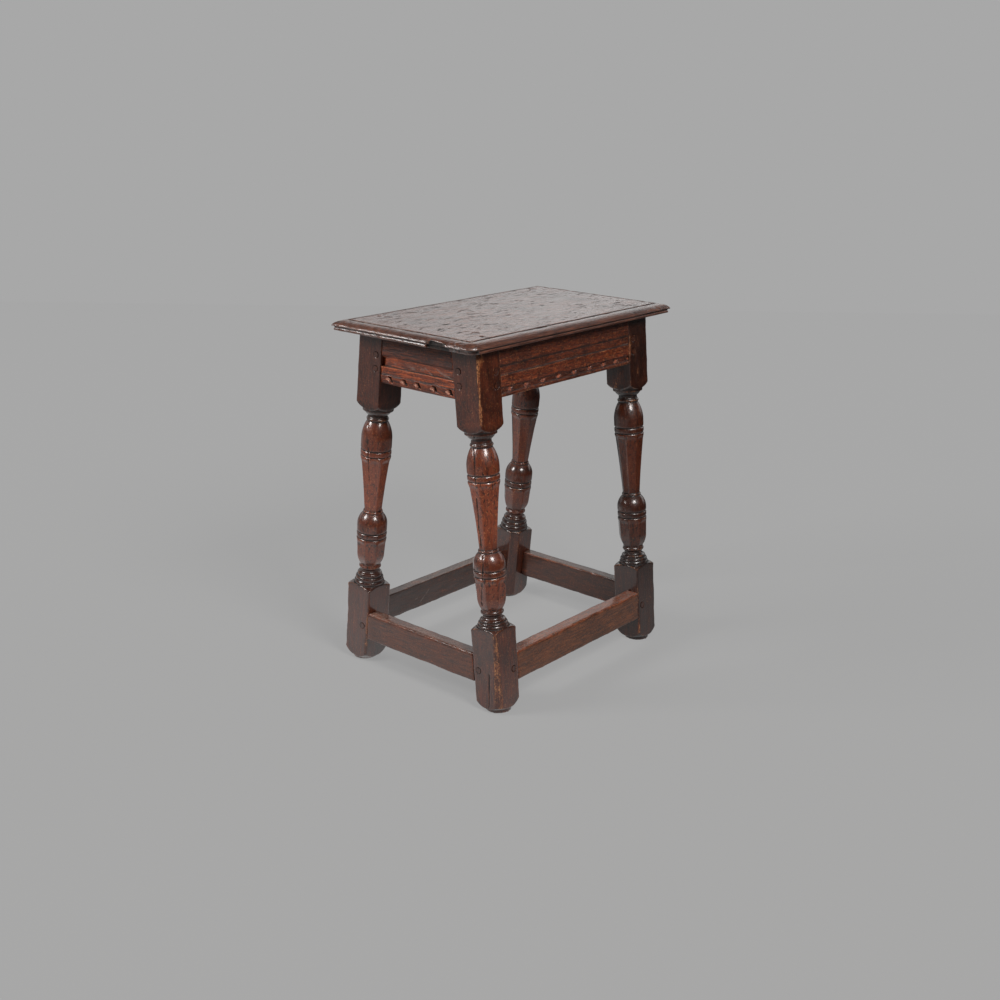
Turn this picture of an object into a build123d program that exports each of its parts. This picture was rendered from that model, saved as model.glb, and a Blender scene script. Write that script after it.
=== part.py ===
from build123d import *
import math
import os

# An oak joint stool: a pegged seat board on a joined frame of four turned and faceted legs,
# four moulded top rails and four stretchers, all held by draw-bored mortise and tenon joints.
#
# Millimetres and degrees. +Z is up from the floor, +X runs along the seat, and the front is -Y.
# The legs stand plumb when seen from the front and lean outwards when seen from the side.

# ---- Overall frame ---------------------------------------------------------------------------
stool_height = 550.0
frame_length = 400.7  # outside of the legs, along X
frame_width_top = 229.7  # outside of the legs, along Y, under the seat board
leg_splay = 5.37  # outward lean of the legs towards the front and the back
leg_side = 47.3  # the square section that each leg is turned from

# ---- Seat board ------------------------------------------------------------------------------
seat_end_overhang = 35.45  # how far the seat stands out beyond the legs at its ends
seat_side_overhang = 22.1  # and at its front and back
seat_thickness = 18.0
thumb_width = 17.4  # thumbnail moulding, in from the edge
thumb_drop = 9.4
thumb_step = 0.5  # fall from the seat surface to the moulding's inner end
quirk_width = 1.8  # groove between the moulding and the flat of the seat
quirk_depth = 1.4
edge_cove = 3.4  # hollow under the moulding's nose
edge_cove_height = 2.6
edge_fillet = 2.7  # small square edge under the hollow
under_bevel_width = 14.0
worn_corner_radius = 19.5  # the front left corner, rounded by wear
sharp_corner_radius = 1.0
chip_start = 50.0  # split out of the left edge, from the stool's middle towards the front
chip_end = 89.0
chip_slant = 8.0  # the chip's ends slant in by this much
chip_drop = 4.4  # top of the chip under the seat surface
chip_depth = 6.0
rim_loss_depth = 7.5  # the lower edge has broken away from the chip to the front left corner
rim_loss_drop = 0.6  # below the moulding's nose

# ---- Legs: square blocks ---------------------------------------------------------------------
foot_block_height = 122.5  # from the floor up to where the lathe starts on the corners
block_edge_softening = 0.8
top_shoulder = 12.0  # turned shoulder under the top block
top_shoulder_swell = 1.8
foot_shoulder = 6.5  # turned shoulder over the foot block
foot_shoulder_swell = 1.2
foot_turn_height = 25.0
foot_turn_swell = 2.2
foot_ledge_height = 5.5
foot_ledge_radius = 24.0
foot_stub_radius = 19.5
corner_clearance = 1.6  # the lathe passes outside the block's corners by this much
# The foot arris towards the left and the front is worn flat on two legs. Width taken off each
# face, at the floor and at the foot block's top.
worn_foot_arrises = {
    "front_left": (9.0, 3.0),
    "back_right": (11.0, 11.0),
}

# ---- Legs: turning ---------------------------------------------------------------------------
full_radius = 23.4
disc_length = 4.6
under_disc_length = 7.2
under_disc_radius = 20.6
top_neck_radius = 14.3
collar_radius = 17.0
collar_length = 4.6
collar_groove_radius = 15.0
bulb_length = 32.0
bulb_shoulder_drop = 15.0
bulb_shoulder_radius = 21.6
ring_spacing = 9.2  # between the two grooves of a ring pair
groove_width = 3.2
groove_depth = 1.3
waist_radius = 14.1
waist_ring_radius = 15.4
waist_ring_length = 3.0
low_bulb_length = 20.0
low_bulb_shoulder_drop = 10.0
low_bulb_shoulder_radius = 21.4
vase_shoulder_radius = 22.7
vase_shoulder_rise = 21.0
vase_hip_radius = 20.7
vase_hip_rise = 9.0
vase_foot_radius = 15.9
vase_foot_gap = 1.8
neck_ring_radius = 17.3
neck_ring_length = 5.4
neck_radius = 14.3
base_neck_drop = 10.0  # from the middle of the neck ring down to the top of the base beads
base_bead_radii = (23.4, 21.9, 19.4)
base_bead_swell = 1.2

# ---- Legs: flats -----------------------------------------------------------------------------
flat_count = 8
flat_depth_ratio = math.cos(math.pi / flat_count)
flat_scoop = 7.0  # length over which each flat runs out under the rings
flat_scoop_hollow = 0.5
flat_margin = 2.4  # full round left between the flats and the ring pair over them

# The four legs were turned by eye, each a little differently. Up the leg from the floor: the
# middle of the neck ring, of the lower ring pair and of the waist. Down the leg from the seat:
# the middle of the upper ring pair and of the collar, and where the lathe starts on the top
# block's corners. Last, the radius half way up the column.
turning_places = {
    "front_left": (151.0, 211.0, 243.5, 182.5, 136.0, 104.2, 17.8),
    "front_right": (154.0, 213.0, 245.5, 182.0, 134.0, 102.6, 18.2),
    "back_left": (157.5, 212.0, 249.5, 187.5, 134.7, 105.0, 18.2),
    "back_right": (161.5, 214.5, 252.0, 186.0, 135.5, 105.0, 18.2),
}

# ---- Rails and stretchers --------------------------------------------------------------------
long_rail_height = 69.7
short_rail_height = 72.9
rail_thickness = 22.0
rail_setback = 0.8  # the rail faces lie this far behind the leg faces
long_stretcher_bottom = 43.2  # height of the lower edge over the floor
long_stretcher_height = 43.8
short_stretcher_bottom = 41.0
short_stretcher_height = 44.0
stretcher_thickness = 20.5
stretcher_setback = 0.5
stretcher_worn_edge = 3.0

# ---- Rail mouldings, band heights counted up from the rail's lower edge -----------------------
long_fascia = 5.1
long_nick_band = 8.9
long_nick_band_sink = 0.9
long_hollow_band = 16.3
long_channel_band = 13.6
long_channel_depth = 1.2
short_nick_band = 15.2
short_nose_recess = 3.2
short_hollow_band = 11.1
short_channel_band = 16.6
short_channel_depth = 2.6
moulding_quirk = 1.0
hollow_depth = 0.9
scratch_depth = 0.8
edge_softening = 0.6
gap_width = 6.0  # missing wood beside the back left leg, in the left rail's channel
gap_height = 13.6
gap_depth = 6.0

# ---- Rail nicks, spaced by eye and counted from the left shoulder to each nick -----------------
scoop_places = (18.5, 54.0, 92.0, 128.0, 166.0, 203.0, 239.0, 270.0, 304.0)  # on the long rails
scoop_rise = 8.6  # middle of each gouged scoop over the rail's lower edge
scoop_width = 14.6
scoop_height = 7.6
scoop_depth = 3.2  # at its straight upper end
scoop_run_out = 3.5  # the gouge's stroke goes on this far out of the wood
wedge_places = (19.5, 48.7, 75.8, 108.0, 137.5)  # on the short rails, to the stop of each nick
wedge_rise = 8.6
wedge_length = 10.5
wedge_radius = 4.6
wedge_tip_radius = 0.3
wedge_lift = 0.8  # the gouge's axis lies this far outside the face
stop_width = 3.6  # deep stop that ends each wedge
stop_height = 8.6
stop_lean = 2.7  # its foot lies this far to the right of its head
stop_depth = 5.0

# ---- Joints ----------------------------------------------------------------------------------
tenon_thickness = 9.0
tenon_setback = 9.0  # from the leg's outer face to the tenon's outer cheek
tenon_end_gap = 3.2  # wood left between a tenon's end and the crossing tenon's line
rail_tenon_haunch = 14.0  # shoulder above the tenon, so that the mortise stays closed
rail_tenon_shoulder = 4.0  # shoulder below the tenon
stretcher_tenon_shoulder = 3.5
mortise_clearance = 0.12
mortise_end_clearance = 1.0
peg_radius = 4.4
peg_tip_radius = 3.8
peg_clearance = 0.1
peg_sides = 8
peg_length = 27.5
peg_hole_extra = 1.0
peg_from_shoulder = 10.5
peg_proud = 0.3
rail_peg_drops = (31.2, 51.8)  # below the seat board
stretcher_peg_rise = 21.0  # above the stretcher's lower edge
seat_peg_radius = 6.0
seat_peg_tip_radius = 5.2
seat_peg_grip = 24.0  # length held in the leg's top
seat_peg_sink = 0.4
# The seat pegs were bored by eye: outwards along X and Y from the leg's axis, under the board.
seat_peg_offsets = {
    "front_left": (-8.2, -6.9),
    "front_right": (-12.9, -2.7),
    "back_left": (-11.1, -0.8),
    "back_right": (11.0, 12.7),
}

# ---- Derived places --------------------------------------------------------------------------
frame_top = stool_height - seat_thickness
seat_length = frame_length + 2 * seat_end_overhang
seat_width = frame_width_top + 2 * seat_side_overhang
lean = math.radians(leg_splay)
leg_half = leg_side / 2
leg_outer_x = frame_length / 2
leg_axis_x = leg_outer_x - leg_half
leg_inner_x = leg_outer_x - leg_side
leg_axis_y = frame_width_top / 2 - leg_half / math.cos(lean) + frame_top * math.tan(lean)
axis_length = frame_top / math.cos(lean)
lathe_limit = leg_half * math.sqrt(2) + corner_clearance
margin = 4.0  # how far cutting shapes run past the wood
tenon_length = leg_side - tenon_setback - tenon_thickness - tenon_end_gap
long_rail_bottom = frame_top - long_rail_height
short_rail_bottom = frame_top - short_rail_height
rail_peg_heights = tuple(frame_top - drop for drop in rail_peg_drops)
corners = {
    "front_left": (-1, -1),
    "front_right": (1, -1),
    "back_left": (-1, 1),
    "back_right": (1, 1),
}

# Every kind of bar in the frame: the axis it runs along, its lower edge, its height, the tenon's
# upper and lower shoulders, and the heights of the pegs.
bars = {
    "long_rail": (
        "x", long_rail_bottom, long_rail_height,
        rail_tenon_haunch, rail_tenon_shoulder, rail_peg_heights,
    ),
    "short_rail": (
        "y", short_rail_bottom, short_rail_height,
        rail_tenon_haunch, rail_tenon_shoulder, rail_peg_heights,
    ),
    "long_stretcher": (
        "x", long_stretcher_bottom, long_stretcher_height,
        stretcher_tenon_shoulder, stretcher_tenon_shoulder,
        (long_stretcher_bottom + stretcher_peg_rise,),
    ),
    "short_stretcher": (
        "y", short_stretcher_bottom, short_stretcher_height,
        stretcher_tenon_shoulder, stretcher_tenon_shoulder,
        (short_stretcher_bottom + stretcher_peg_rise,),
    ),
}

os.makedirs("parts", exist_ok=True)


def finish(builder, name):
    """Label a finished piece and write it out."""
    builder.part.label = name
    export_step(builder.part, f"parts/{name}.step")


def swell(start, end, amount):
    """An arc from start up to end that swells outwards by amount, or hollows if it is negative."""
    return SagittaArc(start, end, -amount)


def lean_y(outward, height):
    """Distance from the stool's middle of a plane parallel to the leaning leg faces.

    outward is measured square to those faces from the leg's axis.
    """
    return leg_axis_y + outward / math.cos(lean) - height * math.tan(lean)


def leaning_bar(outward_span, height_span, x_span, side_x, side_y):
    """A bar between two leaning planes, two heights and two distances along X."""
    inner, outer = outward_span
    low, high = height_span
    near, far = x_span
    with BuildPart() as bar:
        with BuildSketch(Plane.YZ.offset(side_x * near)):
            with BuildLine():
                Polyline(
                    (side_y * lean_y(inner, low), low),
                    (side_y * lean_y(outer, low), low),
                    (side_y * lean_y(outer, high), high),
                    (side_y * lean_y(inner, high), high),
                    close=True,
                )
            make_face()
        extrude(amount=side_x * (far - near))
    return bar.part


# ---- Joints ----------------------------------------------------------------------------------
def tenon_shape(kind, side_x, side_y, fit, end_fit, root):
    """A tenon that runs back out of its shoulder by root, grown by the fits for its mortise."""
    runs_along, bottom, height, haunch, shoulder, _ = bars[kind]
    cheeks = (leg_half - tenon_setback - tenon_thickness - fit, leg_half - tenon_setback + fit)
    depth = (-leg_half - root, -leg_half + tenon_length + end_fit)
    heights = (bottom + shoulder - fit, bottom + height - haunch + fit)
    if runs_along == "x":
        x_span = (leg_axis_x + depth[0], leg_axis_x + depth[1])
        return leaning_bar(cheeks, heights, x_span, side_x, side_y)
    x_span = (leg_axis_x + cheeks[0], leg_axis_x + cheeks[1])
    return leaning_bar(depth, heights, x_span, side_x, side_y)


def tenon(kind, side_x, side_y):
    return tenon_shape(kind, side_x, side_y, 0, 0, tenon_thickness)


def mortise(kind, side_x, side_y):
    return tenon_shape(kind, side_x, side_y, mortise_clearance, mortise_end_clearance, margin)


def peg_planes(kind, side_x, side_y):
    """Planes on the leg's outer face, one at each peg of a joint, with Z pointing out of the leg."""
    runs_along, _, _, _, _, heights = bars[kind]
    planes = []
    for height in heights:
        if runs_along == "x":
            x = leg_inner_x + peg_from_shoulder
            origin = (side_x * x, side_y * lean_y(leg_half, height), height)
            outward = (0, side_y * math.cos(lean), math.sin(lean))
        else:
            y = lean_y(peg_from_shoulder - leg_half, height)
            origin = (side_x * leg_outer_x, side_y * y, height)
            outward = (side_x, 0, 0)
        planes.append(Plane(origin=origin, z_dir=outward))
    return planes


def round_hole(plane, radius, depth):
    """A hole that goes into the plane by depth."""
    with BuildPart() as hole:
        with BuildSketch(plane.offset(-depth)):
            Circle(radius)
        extrude(amount=depth + margin)
    return hole.part


def peg_holes(kind, side_x, side_y):
    """Round holes for the pegs of one joint."""
    depth = peg_length + peg_hole_extra
    radius = peg_radius + peg_clearance
    return [round_hole(plane, radius, depth) for plane in peg_planes(kind, side_x, side_y)]


def whittled_peg(plane, head_radius, tip_radius, length, proud):
    """A tapered eight-sided peg that stands out of the plane by proud."""
    with BuildPart() as peg:
        with BuildSketch(plane.offset(proud)):
            RegularPolygon(head_radius, peg_sides)
        with BuildSketch(plane.offset(-length)):
            RegularPolygon(tip_radius, peg_sides)
        loft()
    return peg.part


def seat_peg_plane(corner):
    """The seat surface at one seat peg."""
    side_x, side_y = corners[corner]
    out_x, out_y = seat_peg_offsets[corner]
    x = side_x * (leg_axis_x + out_x)
    y = side_y * (lean_y(0, frame_top) + out_y)
    return Plane(origin=(x, y, stool_height))


def seat_peg_hole(corner):
    """The hole through the seat board and into the leg."""
    depth = seat_thickness + seat_peg_grip + peg_hole_extra
    return round_hole(seat_peg_plane(corner), seat_peg_radius + peg_clearance, depth)


# ---- Seat board ------------------------------------------------------------------------------
def draw_edge_waste(reach):
    """Outline of the wood planed away at the seat's edge, out to reach.

    The first coordinate runs outwards from the start of the moulding, and the second is the
    height above the seat's surface.
    """
    nose = -thumb_step - thumb_drop
    fillet_out = thumb_width - edge_cove + 0.8
    fillet_top = nose - edge_cove_height
    bevel_in = fillet_out - under_bevel_width
    Polyline(
        (-quirk_width, margin),
        (-quirk_width, 0),
        (-quirk_width / 2, -quirk_depth),
        (0, -thumb_step),
    )
    EllipticalCenterArc((0, nose), thumb_width, thumb_drop, start_angle=0, arc_size=90)
    ThreePointArc(
        (thumb_width, nose),
        (thumb_width - edge_cove, nose - edge_cove_height * 0.6),
        (fillet_out, fillet_top),
    )
    Polyline(
        (fillet_out, fillet_top),
        (fillet_out, fillet_top - edge_fillet),
        (bevel_in, -seat_thickness),
        (bevel_in, -seat_thickness - margin),
        (reach, -seat_thickness - margin),
        (reach, margin),
        (-quirk_width, margin),
    )


with BuildPart() as straight_edge_cutter:
    with BuildSketch(Plane.XZ):
        with BuildLine():
            draw_edge_waste(thumb_width + margin)
        make_face()
    extrude(amount=seat_length, both=True)

with BuildPart() as round_edge_cutter:
    with BuildSketch(Plane.XZ.shift_origin((worn_corner_radius - thumb_width, 0, 0))):
        with BuildLine():
            draw_edge_waste(thumb_width + worn_corner_radius)
        make_face()
    revolve(axis=Axis.Z, revolution_arc=90)

left_edge = -seat_length / 2
worn_corner_y = seat_width / 2 - worn_corner_radius
rim_loss_top = stool_height - thumb_step - thumb_drop - rim_loss_drop
moulding_x = seat_length / 2 - thumb_width
moulding_y = seat_width / 2 - thumb_width
edge_places = [
    Location((moulding_x, 0, stool_height), (0, 0, 0)),
    Location((0, moulding_y, stool_height), (0, 0, 90)),
    Location((-moulding_x, 0, stool_height), (0, 0, 180)),
    Location((0, -moulding_y, stool_height), (0, 0, 270)),
]
worn_corner_place = Location(
    (left_edge + worn_corner_radius, -worn_corner_y, stool_height),
    (0, 0, 180),
)

with BuildPart() as lost_rim:
    with BuildSketch(Plane.XZ.offset(worn_corner_y)) as lost_section:
        with BuildLine():
            Polyline(
                (left_edge - margin, rim_loss_top),
                (left_edge + rim_loss_depth, rim_loss_top),
                (left_edge + rim_loss_depth + edge_fillet, frame_top - margin),
                (left_edge - margin, frame_top - margin),
                close=True,
            )
        make_face()
    extrude(amount=chip_start - worn_corner_y)
    worn_corner_axis = Axis((left_edge + worn_corner_radius, -worn_corner_y, 0), (0, 0, 1))
    revolve(lost_section.sketch, axis=worn_corner_axis, revolution_arc=90)

with BuildPart() as edge_chip:
    with BuildSketch(Plane.XY.offset(stool_height - chip_drop)):
        with BuildLine():
            Polyline(
                (left_edge - margin, -chip_start),
                (left_edge + chip_depth, -chip_start - chip_slant),
                (left_edge + chip_depth / 2, -chip_end + chip_slant),
                (left_edge - margin, -chip_end),
                close=True,
            )
        make_face()
    extrude(amount=-seat_thickness)

with BuildPart() as seat_board:
    with BuildSketch(Plane.XY.offset(frame_top)):
        RectangleRounded(seat_length, seat_width, sharp_corner_radius)
    extrude(amount=seat_thickness)
    for edge_place in edge_places:
        with Locations(edge_place):
            add(straight_edge_cutter.part, mode=Mode.SUBTRACT)
    with Locations(worn_corner_place):
        add(round_edge_cutter.part, mode=Mode.SUBTRACT)
    add(lost_rim.part, mode=Mode.SUBTRACT)
    add(edge_chip.part, mode=Mode.SUBTRACT)
    for corner in corners:
        add(seat_peg_hole(corner), mode=Mode.SUBTRACT)
finish(seat_board, "seat_board")

with BuildPart() as seat_pegs:
    for corner in corners:
        plane = seat_peg_plane(corner)
        length = seat_thickness + seat_peg_grip
        add(whittled_peg(plane, seat_peg_radius, seat_peg_tip_radius, length, -seat_peg_sink))
finish(seat_pegs, "seat_pegs")


# ---- Legs ------------------------------------------------------------------------------------
def leg_plane(corner):
    """The leg's own frame: its axis is Z, and it starts at floor level."""
    side_x, side_y = corners[corner]
    return Plane(
        origin=(side_x * leg_axis_x, side_y * leg_axis_y, 0),
        x_dir=(1, 0, 0),
        z_dir=(0, -side_y * math.sin(lean), math.cos(lean)),
    )


ring_pair_half = (ring_spacing + groove_width) / 2
block_top = foot_block_height + foot_shoulder


def draw_ring_pair(middle):
    """Two lathe grooves with a plain ring between them."""
    low = middle - ring_spacing / 2
    high = middle + ring_spacing / 2
    half = groove_width / 2
    swell((full_radius, low - half), (full_radius, low + half), -groove_depth)
    Line((full_radius, low + half), (full_radius, high - half))
    swell((full_radius, high - half), (full_radius, high + half), -groove_depth)


def draw_foot_and_block():
    """From the floor to the top of the shoulder over the foot block."""
    Polyline(
        (0, -2 * margin),
        (foot_stub_radius, -2 * margin),
        (foot_stub_radius, foot_ledge_height),
        (foot_ledge_radius, foot_ledge_height),
    )
    swell((foot_ledge_radius, foot_ledge_height), (lathe_limit, foot_turn_height), foot_turn_swell)
    Line((lathe_limit, foot_turn_height), (lathe_limit, foot_block_height))
    swell((lathe_limit, foot_block_height), (full_radius, block_top), foot_shoulder_swell)


def draw_base(neck_ring):
    """Three beads, the neck over them and the neck's ring."""
    base_top = neck_ring - base_neck_drop
    bead_height = (base_top - block_top) / len(base_bead_radii)
    last = (full_radius, block_top)
    for radius in base_bead_radii:
        foot = (radius - base_bead_swell, last[1])
        head = (radius - base_bead_swell, last[1] + bead_height)
        Line(last, foot)
        swell(foot, head, base_bead_swell)
        last = head
    ring_low = neck_ring - neck_ring_length / 2
    ring_high = neck_ring + neck_ring_length / 2
    ThreePointArc(last, (neck_radius, (base_top + ring_low) / 2), (vase_foot_radius, ring_low))
    ring_swell = neck_ring_radius - vase_foot_radius
    swell((vase_foot_radius, ring_low), (vase_foot_radius, ring_high), ring_swell)
    Line((vase_foot_radius, ring_high), (vase_foot_radius, ring_high + vase_foot_gap))


def draw_vase(foot, top, top_radius, scale):
    """The vase's side with its radii scaled, which returns its first and last points."""
    first = (vase_foot_radius * scale, foot)
    hip = (vase_hip_radius * scale, foot + vase_hip_rise)
    shoulder = (vase_shoulder_radius * scale, foot + vase_shoulder_rise)
    last = (top_radius * scale, top)
    ThreePointArc(first, hip, shoulder)
    Line(shoulder, last)
    return first, last


def draw_bulb(foot, top, shoulder_drop, shoulder_radius, top_radius):
    """A half-egg bulb that starts upright and closes in at its top."""
    shoulder = (shoulder_radius, top - shoulder_drop)
    ThreePointArc((full_radius, foot), shoulder, (top_radius, top))


def draw_column(foot, top, middle, top_radius, scale):
    """The column's side with its radii scaled, which returns its first and last points.

    middle is the point half way up the whole column.
    """
    first = (waist_radius * scale, foot)
    last = (top_radius * scale, top)
    ThreePointArc(first, (middle[0] * scale, middle[1]), last)
    return first, last


def draw_head(block_foot):
    """From the upper neck, over the disc and its shoulder, to the leg's top and back down.

    block_foot is the height where the shoulder meets the top block's corners.
    """
    disc_top = block_foot - top_shoulder
    disc_foot = disc_top - disc_length
    neck_top = disc_foot - under_disc_length
    swell((top_neck_radius, neck_top), (under_disc_radius, disc_foot), top_shoulder_swell / 2)
    Polyline((under_disc_radius, disc_foot), (full_radius, disc_foot), (full_radius, disc_top))
    swell((full_radius, disc_top), (lathe_limit, block_foot), top_shoulder_swell)
    Polyline(
        (lathe_limit, block_foot),
        (lathe_limit, axis_length + 2 * margin),
        (0, axis_length + 2 * margin),
        (0, -2 * margin),
    )
    return neck_top


def draw_turning(corner):
    """The whole outline of a turned leg: radius first, then height up the axis."""
    neck_ring, low_pair, waist = turning_places[corner][:3]
    high_pair_drop, collar_drop, block_length, middle_radius = turning_places[corner][3:]
    draw_foot_and_block()
    draw_base(neck_ring)
    vase_foot = neck_ring + neck_ring_length / 2 + vase_foot_gap
    draw_vase(vase_foot, low_pair - ring_pair_half, full_radius, 1)
    draw_ring_pair(low_pair)

    waist_low = waist - waist_ring_length / 2
    waist_high = waist + waist_ring_length / 2
    bulb_foot = waist_low - low_bulb_length
    Line((full_radius, low_pair + ring_pair_half), (full_radius, bulb_foot))
    draw_bulb(
        bulb_foot, waist_low, low_bulb_shoulder_drop, low_bulb_shoulder_radius, waist_radius
    )
    waist_swell = waist_ring_radius - waist_radius
    swell((waist_radius, waist_low), (waist_radius, waist_high), waist_swell)

    high_pair = axis_length - high_pair_drop
    column_top = high_pair - ring_pair_half
    middle = (middle_radius, (waist_high + column_top) / 2)
    draw_column(waist_high, column_top, middle, full_radius, 1)
    draw_ring_pair(high_pair)

    collar = axis_length - collar_drop
    collar_low = collar - collar_length / 2
    collar_high = collar + collar_length / 2
    bulb_foot = collar_low - bulb_length
    Line((full_radius, high_pair + ring_pair_half), (full_radius, bulb_foot))
    draw_bulb(
        bulb_foot, collar_low, bulb_shoulder_drop, bulb_shoulder_radius, collar_groove_radius
    )
    collar_swell = collar_radius - collar_groove_radius
    swell((collar_groove_radius, collar_low), (collar_groove_radius, collar_high), collar_swell)
    neck_top = draw_head(axis_length - block_length)
    Line((collar_groove_radius, collar_high), (top_neck_radius, neck_top))


def column_flat_line(corner):
    """The line of the column's flats, up to where they scoop out."""
    _, _, waist, high_pair_drop, _, _, middle_radius = turning_places[corner]
    foot = waist + waist_ring_length / 2
    column_top = axis_length - high_pair_drop - ring_pair_half
    middle = (middle_radius, (foot + column_top) / 2)
    high = column_top - flat_margin
    scoop = high - flat_scoop
    share = (scoop - middle[1]) / (column_top - middle[1])
    scoop_radius = middle_radius + (full_radius - middle_radius) * share
    first, last = draw_column(foot, scoop, middle, scoop_radius, flat_depth_ratio)
    return first, last, high


def vase_flat_line(corner):
    """The line of the vase's flats, up to where they scoop out."""
    neck_ring, low_pair = turning_places[corner][:2]
    foot = neck_ring + neck_ring_length / 2 + vase_foot_gap
    high = low_pair - ring_pair_half - flat_margin
    first, last = draw_vase(foot, high - flat_scoop, full_radius, flat_depth_ratio)
    return first, last, high


def flat_waste(flat_line, corner):
    """The wood outside one flat of the leg."""
    with BuildPart() as waste:
        with BuildSketch(Plane.XZ):
            with BuildLine():
                first, last, high = flat_line(corner)
                swell(last, (full_radius, high), -flat_scoop_hollow)
                Polyline((full_radius, high), (lathe_limit, high), (lathe_limit, first[1]), first)
            make_face()
        extrude(amount=leg_side, both=True)
    return waste.part


def worn_foot_waste(corner):
    """The wood worn off the foot arris that points towards -X and -Y."""
    with BuildPart() as waste:
        for height, width in zip((-margin, block_top), worn_foot_arrises[corner]):
            reach = width - leg_half + margin
            with BuildSketch(Plane.XY.offset(height)):
                with BuildLine():
                    Polyline(
                        (-leg_half - margin, -leg_half - margin),
                        (reach, -leg_half - margin),
                        (-leg_half - margin, reach),
                        close=True,
                    )
                make_face()
        loft()
    return waste.part


def turned_leg(corner):
    """A leg in its own frame, before its ends are trimmed and its joints are cut."""
    flats = [flat_waste(flat_line, corner) for flat_line in (column_flat_line, vase_flat_line)]
    with BuildPart() as leg:
        with BuildSketch(Plane.XZ):
            with BuildLine():
                draw_turning(corner)
            make_face()
        revolve(axis=Axis.Z)
        with BuildSketch(Plane.XY.offset(-2 * margin)):
            blank = Rectangle(leg_side, leg_side)
            chamfer(blank.vertices(), block_edge_softening)
        extrude(amount=axis_length + 4 * margin, mode=Mode.INTERSECT)
        with PolarLocations(0, flat_count):
            for flat in flats:
                add(flat, mode=Mode.SUBTRACT)
        if corner in worn_foot_arrises:
            add(worn_foot_waste(corner), mode=Mode.SUBTRACT)
    return leg.part


def make_leg(corner):
    side_x, side_y = corners[corner]
    with BuildPart() as leg:
        with Locations(leg_plane(corner)):
            add(turned_leg(corner))
        split(bisect_by=Plane.XY, keep=Keep.TOP)
        split(bisect_by=Plane.XY.offset(frame_top), keep=Keep.BOTTOM)
        for kind in bars:
            add(mortise(kind, side_x, side_y), mode=Mode.SUBTRACT)
            add(peg_holes(kind, side_x, side_y), mode=Mode.SUBTRACT)
        add(seat_peg_hole(corner), mode=Mode.SUBTRACT)
    finish(leg, f"leg_{corner}")


for corner in corners:
    make_leg(corner)


# ---- Rails and stretchers --------------------------------------------------------------------
# Each face is drawn from the lower edge to the upper edge by place(depth, rise), where depth is
# counted in from the face and rise is counted up from the lower edge.
def long_rail_face(place, height):
    hollow_foot = long_fascia + long_nick_band
    hollow_top = hollow_foot + long_hollow_band
    channel_top = hollow_top + long_channel_band
    quirk = long_nick_band_sink + moulding_quirk
    Polyline(
        place(edge_softening, 0),
        place(0, edge_softening),
        place(0, long_fascia - edge_softening),
        place(edge_softening, long_fascia),
        place(quirk, long_fascia + moulding_quirk / 2),
        place(long_nick_band_sink, long_fascia + moulding_quirk),
        place(long_nick_band_sink, hollow_foot - moulding_quirk),
        place(quirk, hollow_foot - moulding_quirk / 2),
        place(hollow_depth, hollow_foot),
    )
    hollow_middle = (hollow_foot + hollow_top) / 2
    ThreePointArc(
        place(hollow_depth, hollow_foot), place(hollow_depth, hollow_middle), place(0, hollow_top)
    )
    Polyline(
        place(0, hollow_top),
        place(long_channel_depth, hollow_top + edge_softening),
        place(long_channel_depth, channel_top - edge_softening),
        place(0, channel_top),
        place(0, channel_top + moulding_quirk),
        place(scratch_depth, channel_top + 1.5 * moulding_quirk),
        place(0, channel_top + 2 * moulding_quirk),
        place(0, height),
    )
    return place(edge_softening, 0), place(0, height)


def short_rail_face(place, height):
    hollow_top = short_nick_band + short_hollow_band
    channel_top = hollow_top + short_channel_band
    nose_top = short_nick_band - moulding_quirk
    ThreePointArc(
        place(short_nose_recess, 0),
        place(short_nose_recess / 4, nose_top / 2),
        place(0, nose_top),
    )
    Polyline(
        place(0, nose_top),
        place(moulding_quirk, nose_top + moulding_quirk / 2),
        place(hollow_depth, short_nick_band),
    )
    hollow_middle = (short_nick_band + hollow_top) / 2
    ThreePointArc(
        place(hollow_depth, short_nick_band),
        place(hollow_depth, hollow_middle),
        place(0, hollow_top),
    )
    Polyline(
        place(0, hollow_top),
        place(short_channel_depth, hollow_top + edge_softening),
        place(short_channel_depth, channel_top - short_channel_depth),
        place(edge_softening, channel_top),
        place(0, channel_top + edge_softening),
        place(0, height),
    )
    return place(short_nose_recess, 0), place(0, height)


def stretcher_face(place, height):
    worn = stretcher_worn_edge
    Polyline(place(edge_softening, 0), place(0, edge_softening), place(0, height - worn))
    ThreePointArc(
        place(0, height - worn), place(worn * 0.3, height - worn * 0.3), place(worn, height)
    )
    return place(edge_softening, 0), place(worn, height)


# Face, distance of the face behind the leg's face, and thickness of each kind of bar
bar_sections = {
    "long_rail": (long_rail_face, rail_setback, rail_thickness),
    "short_rail": (short_rail_face, rail_setback, rail_thickness),
    "long_stretcher": (stretcher_face, stretcher_setback, stretcher_thickness),
    "short_stretcher": (stretcher_face, stretcher_setback, stretcher_thickness),
}


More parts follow.
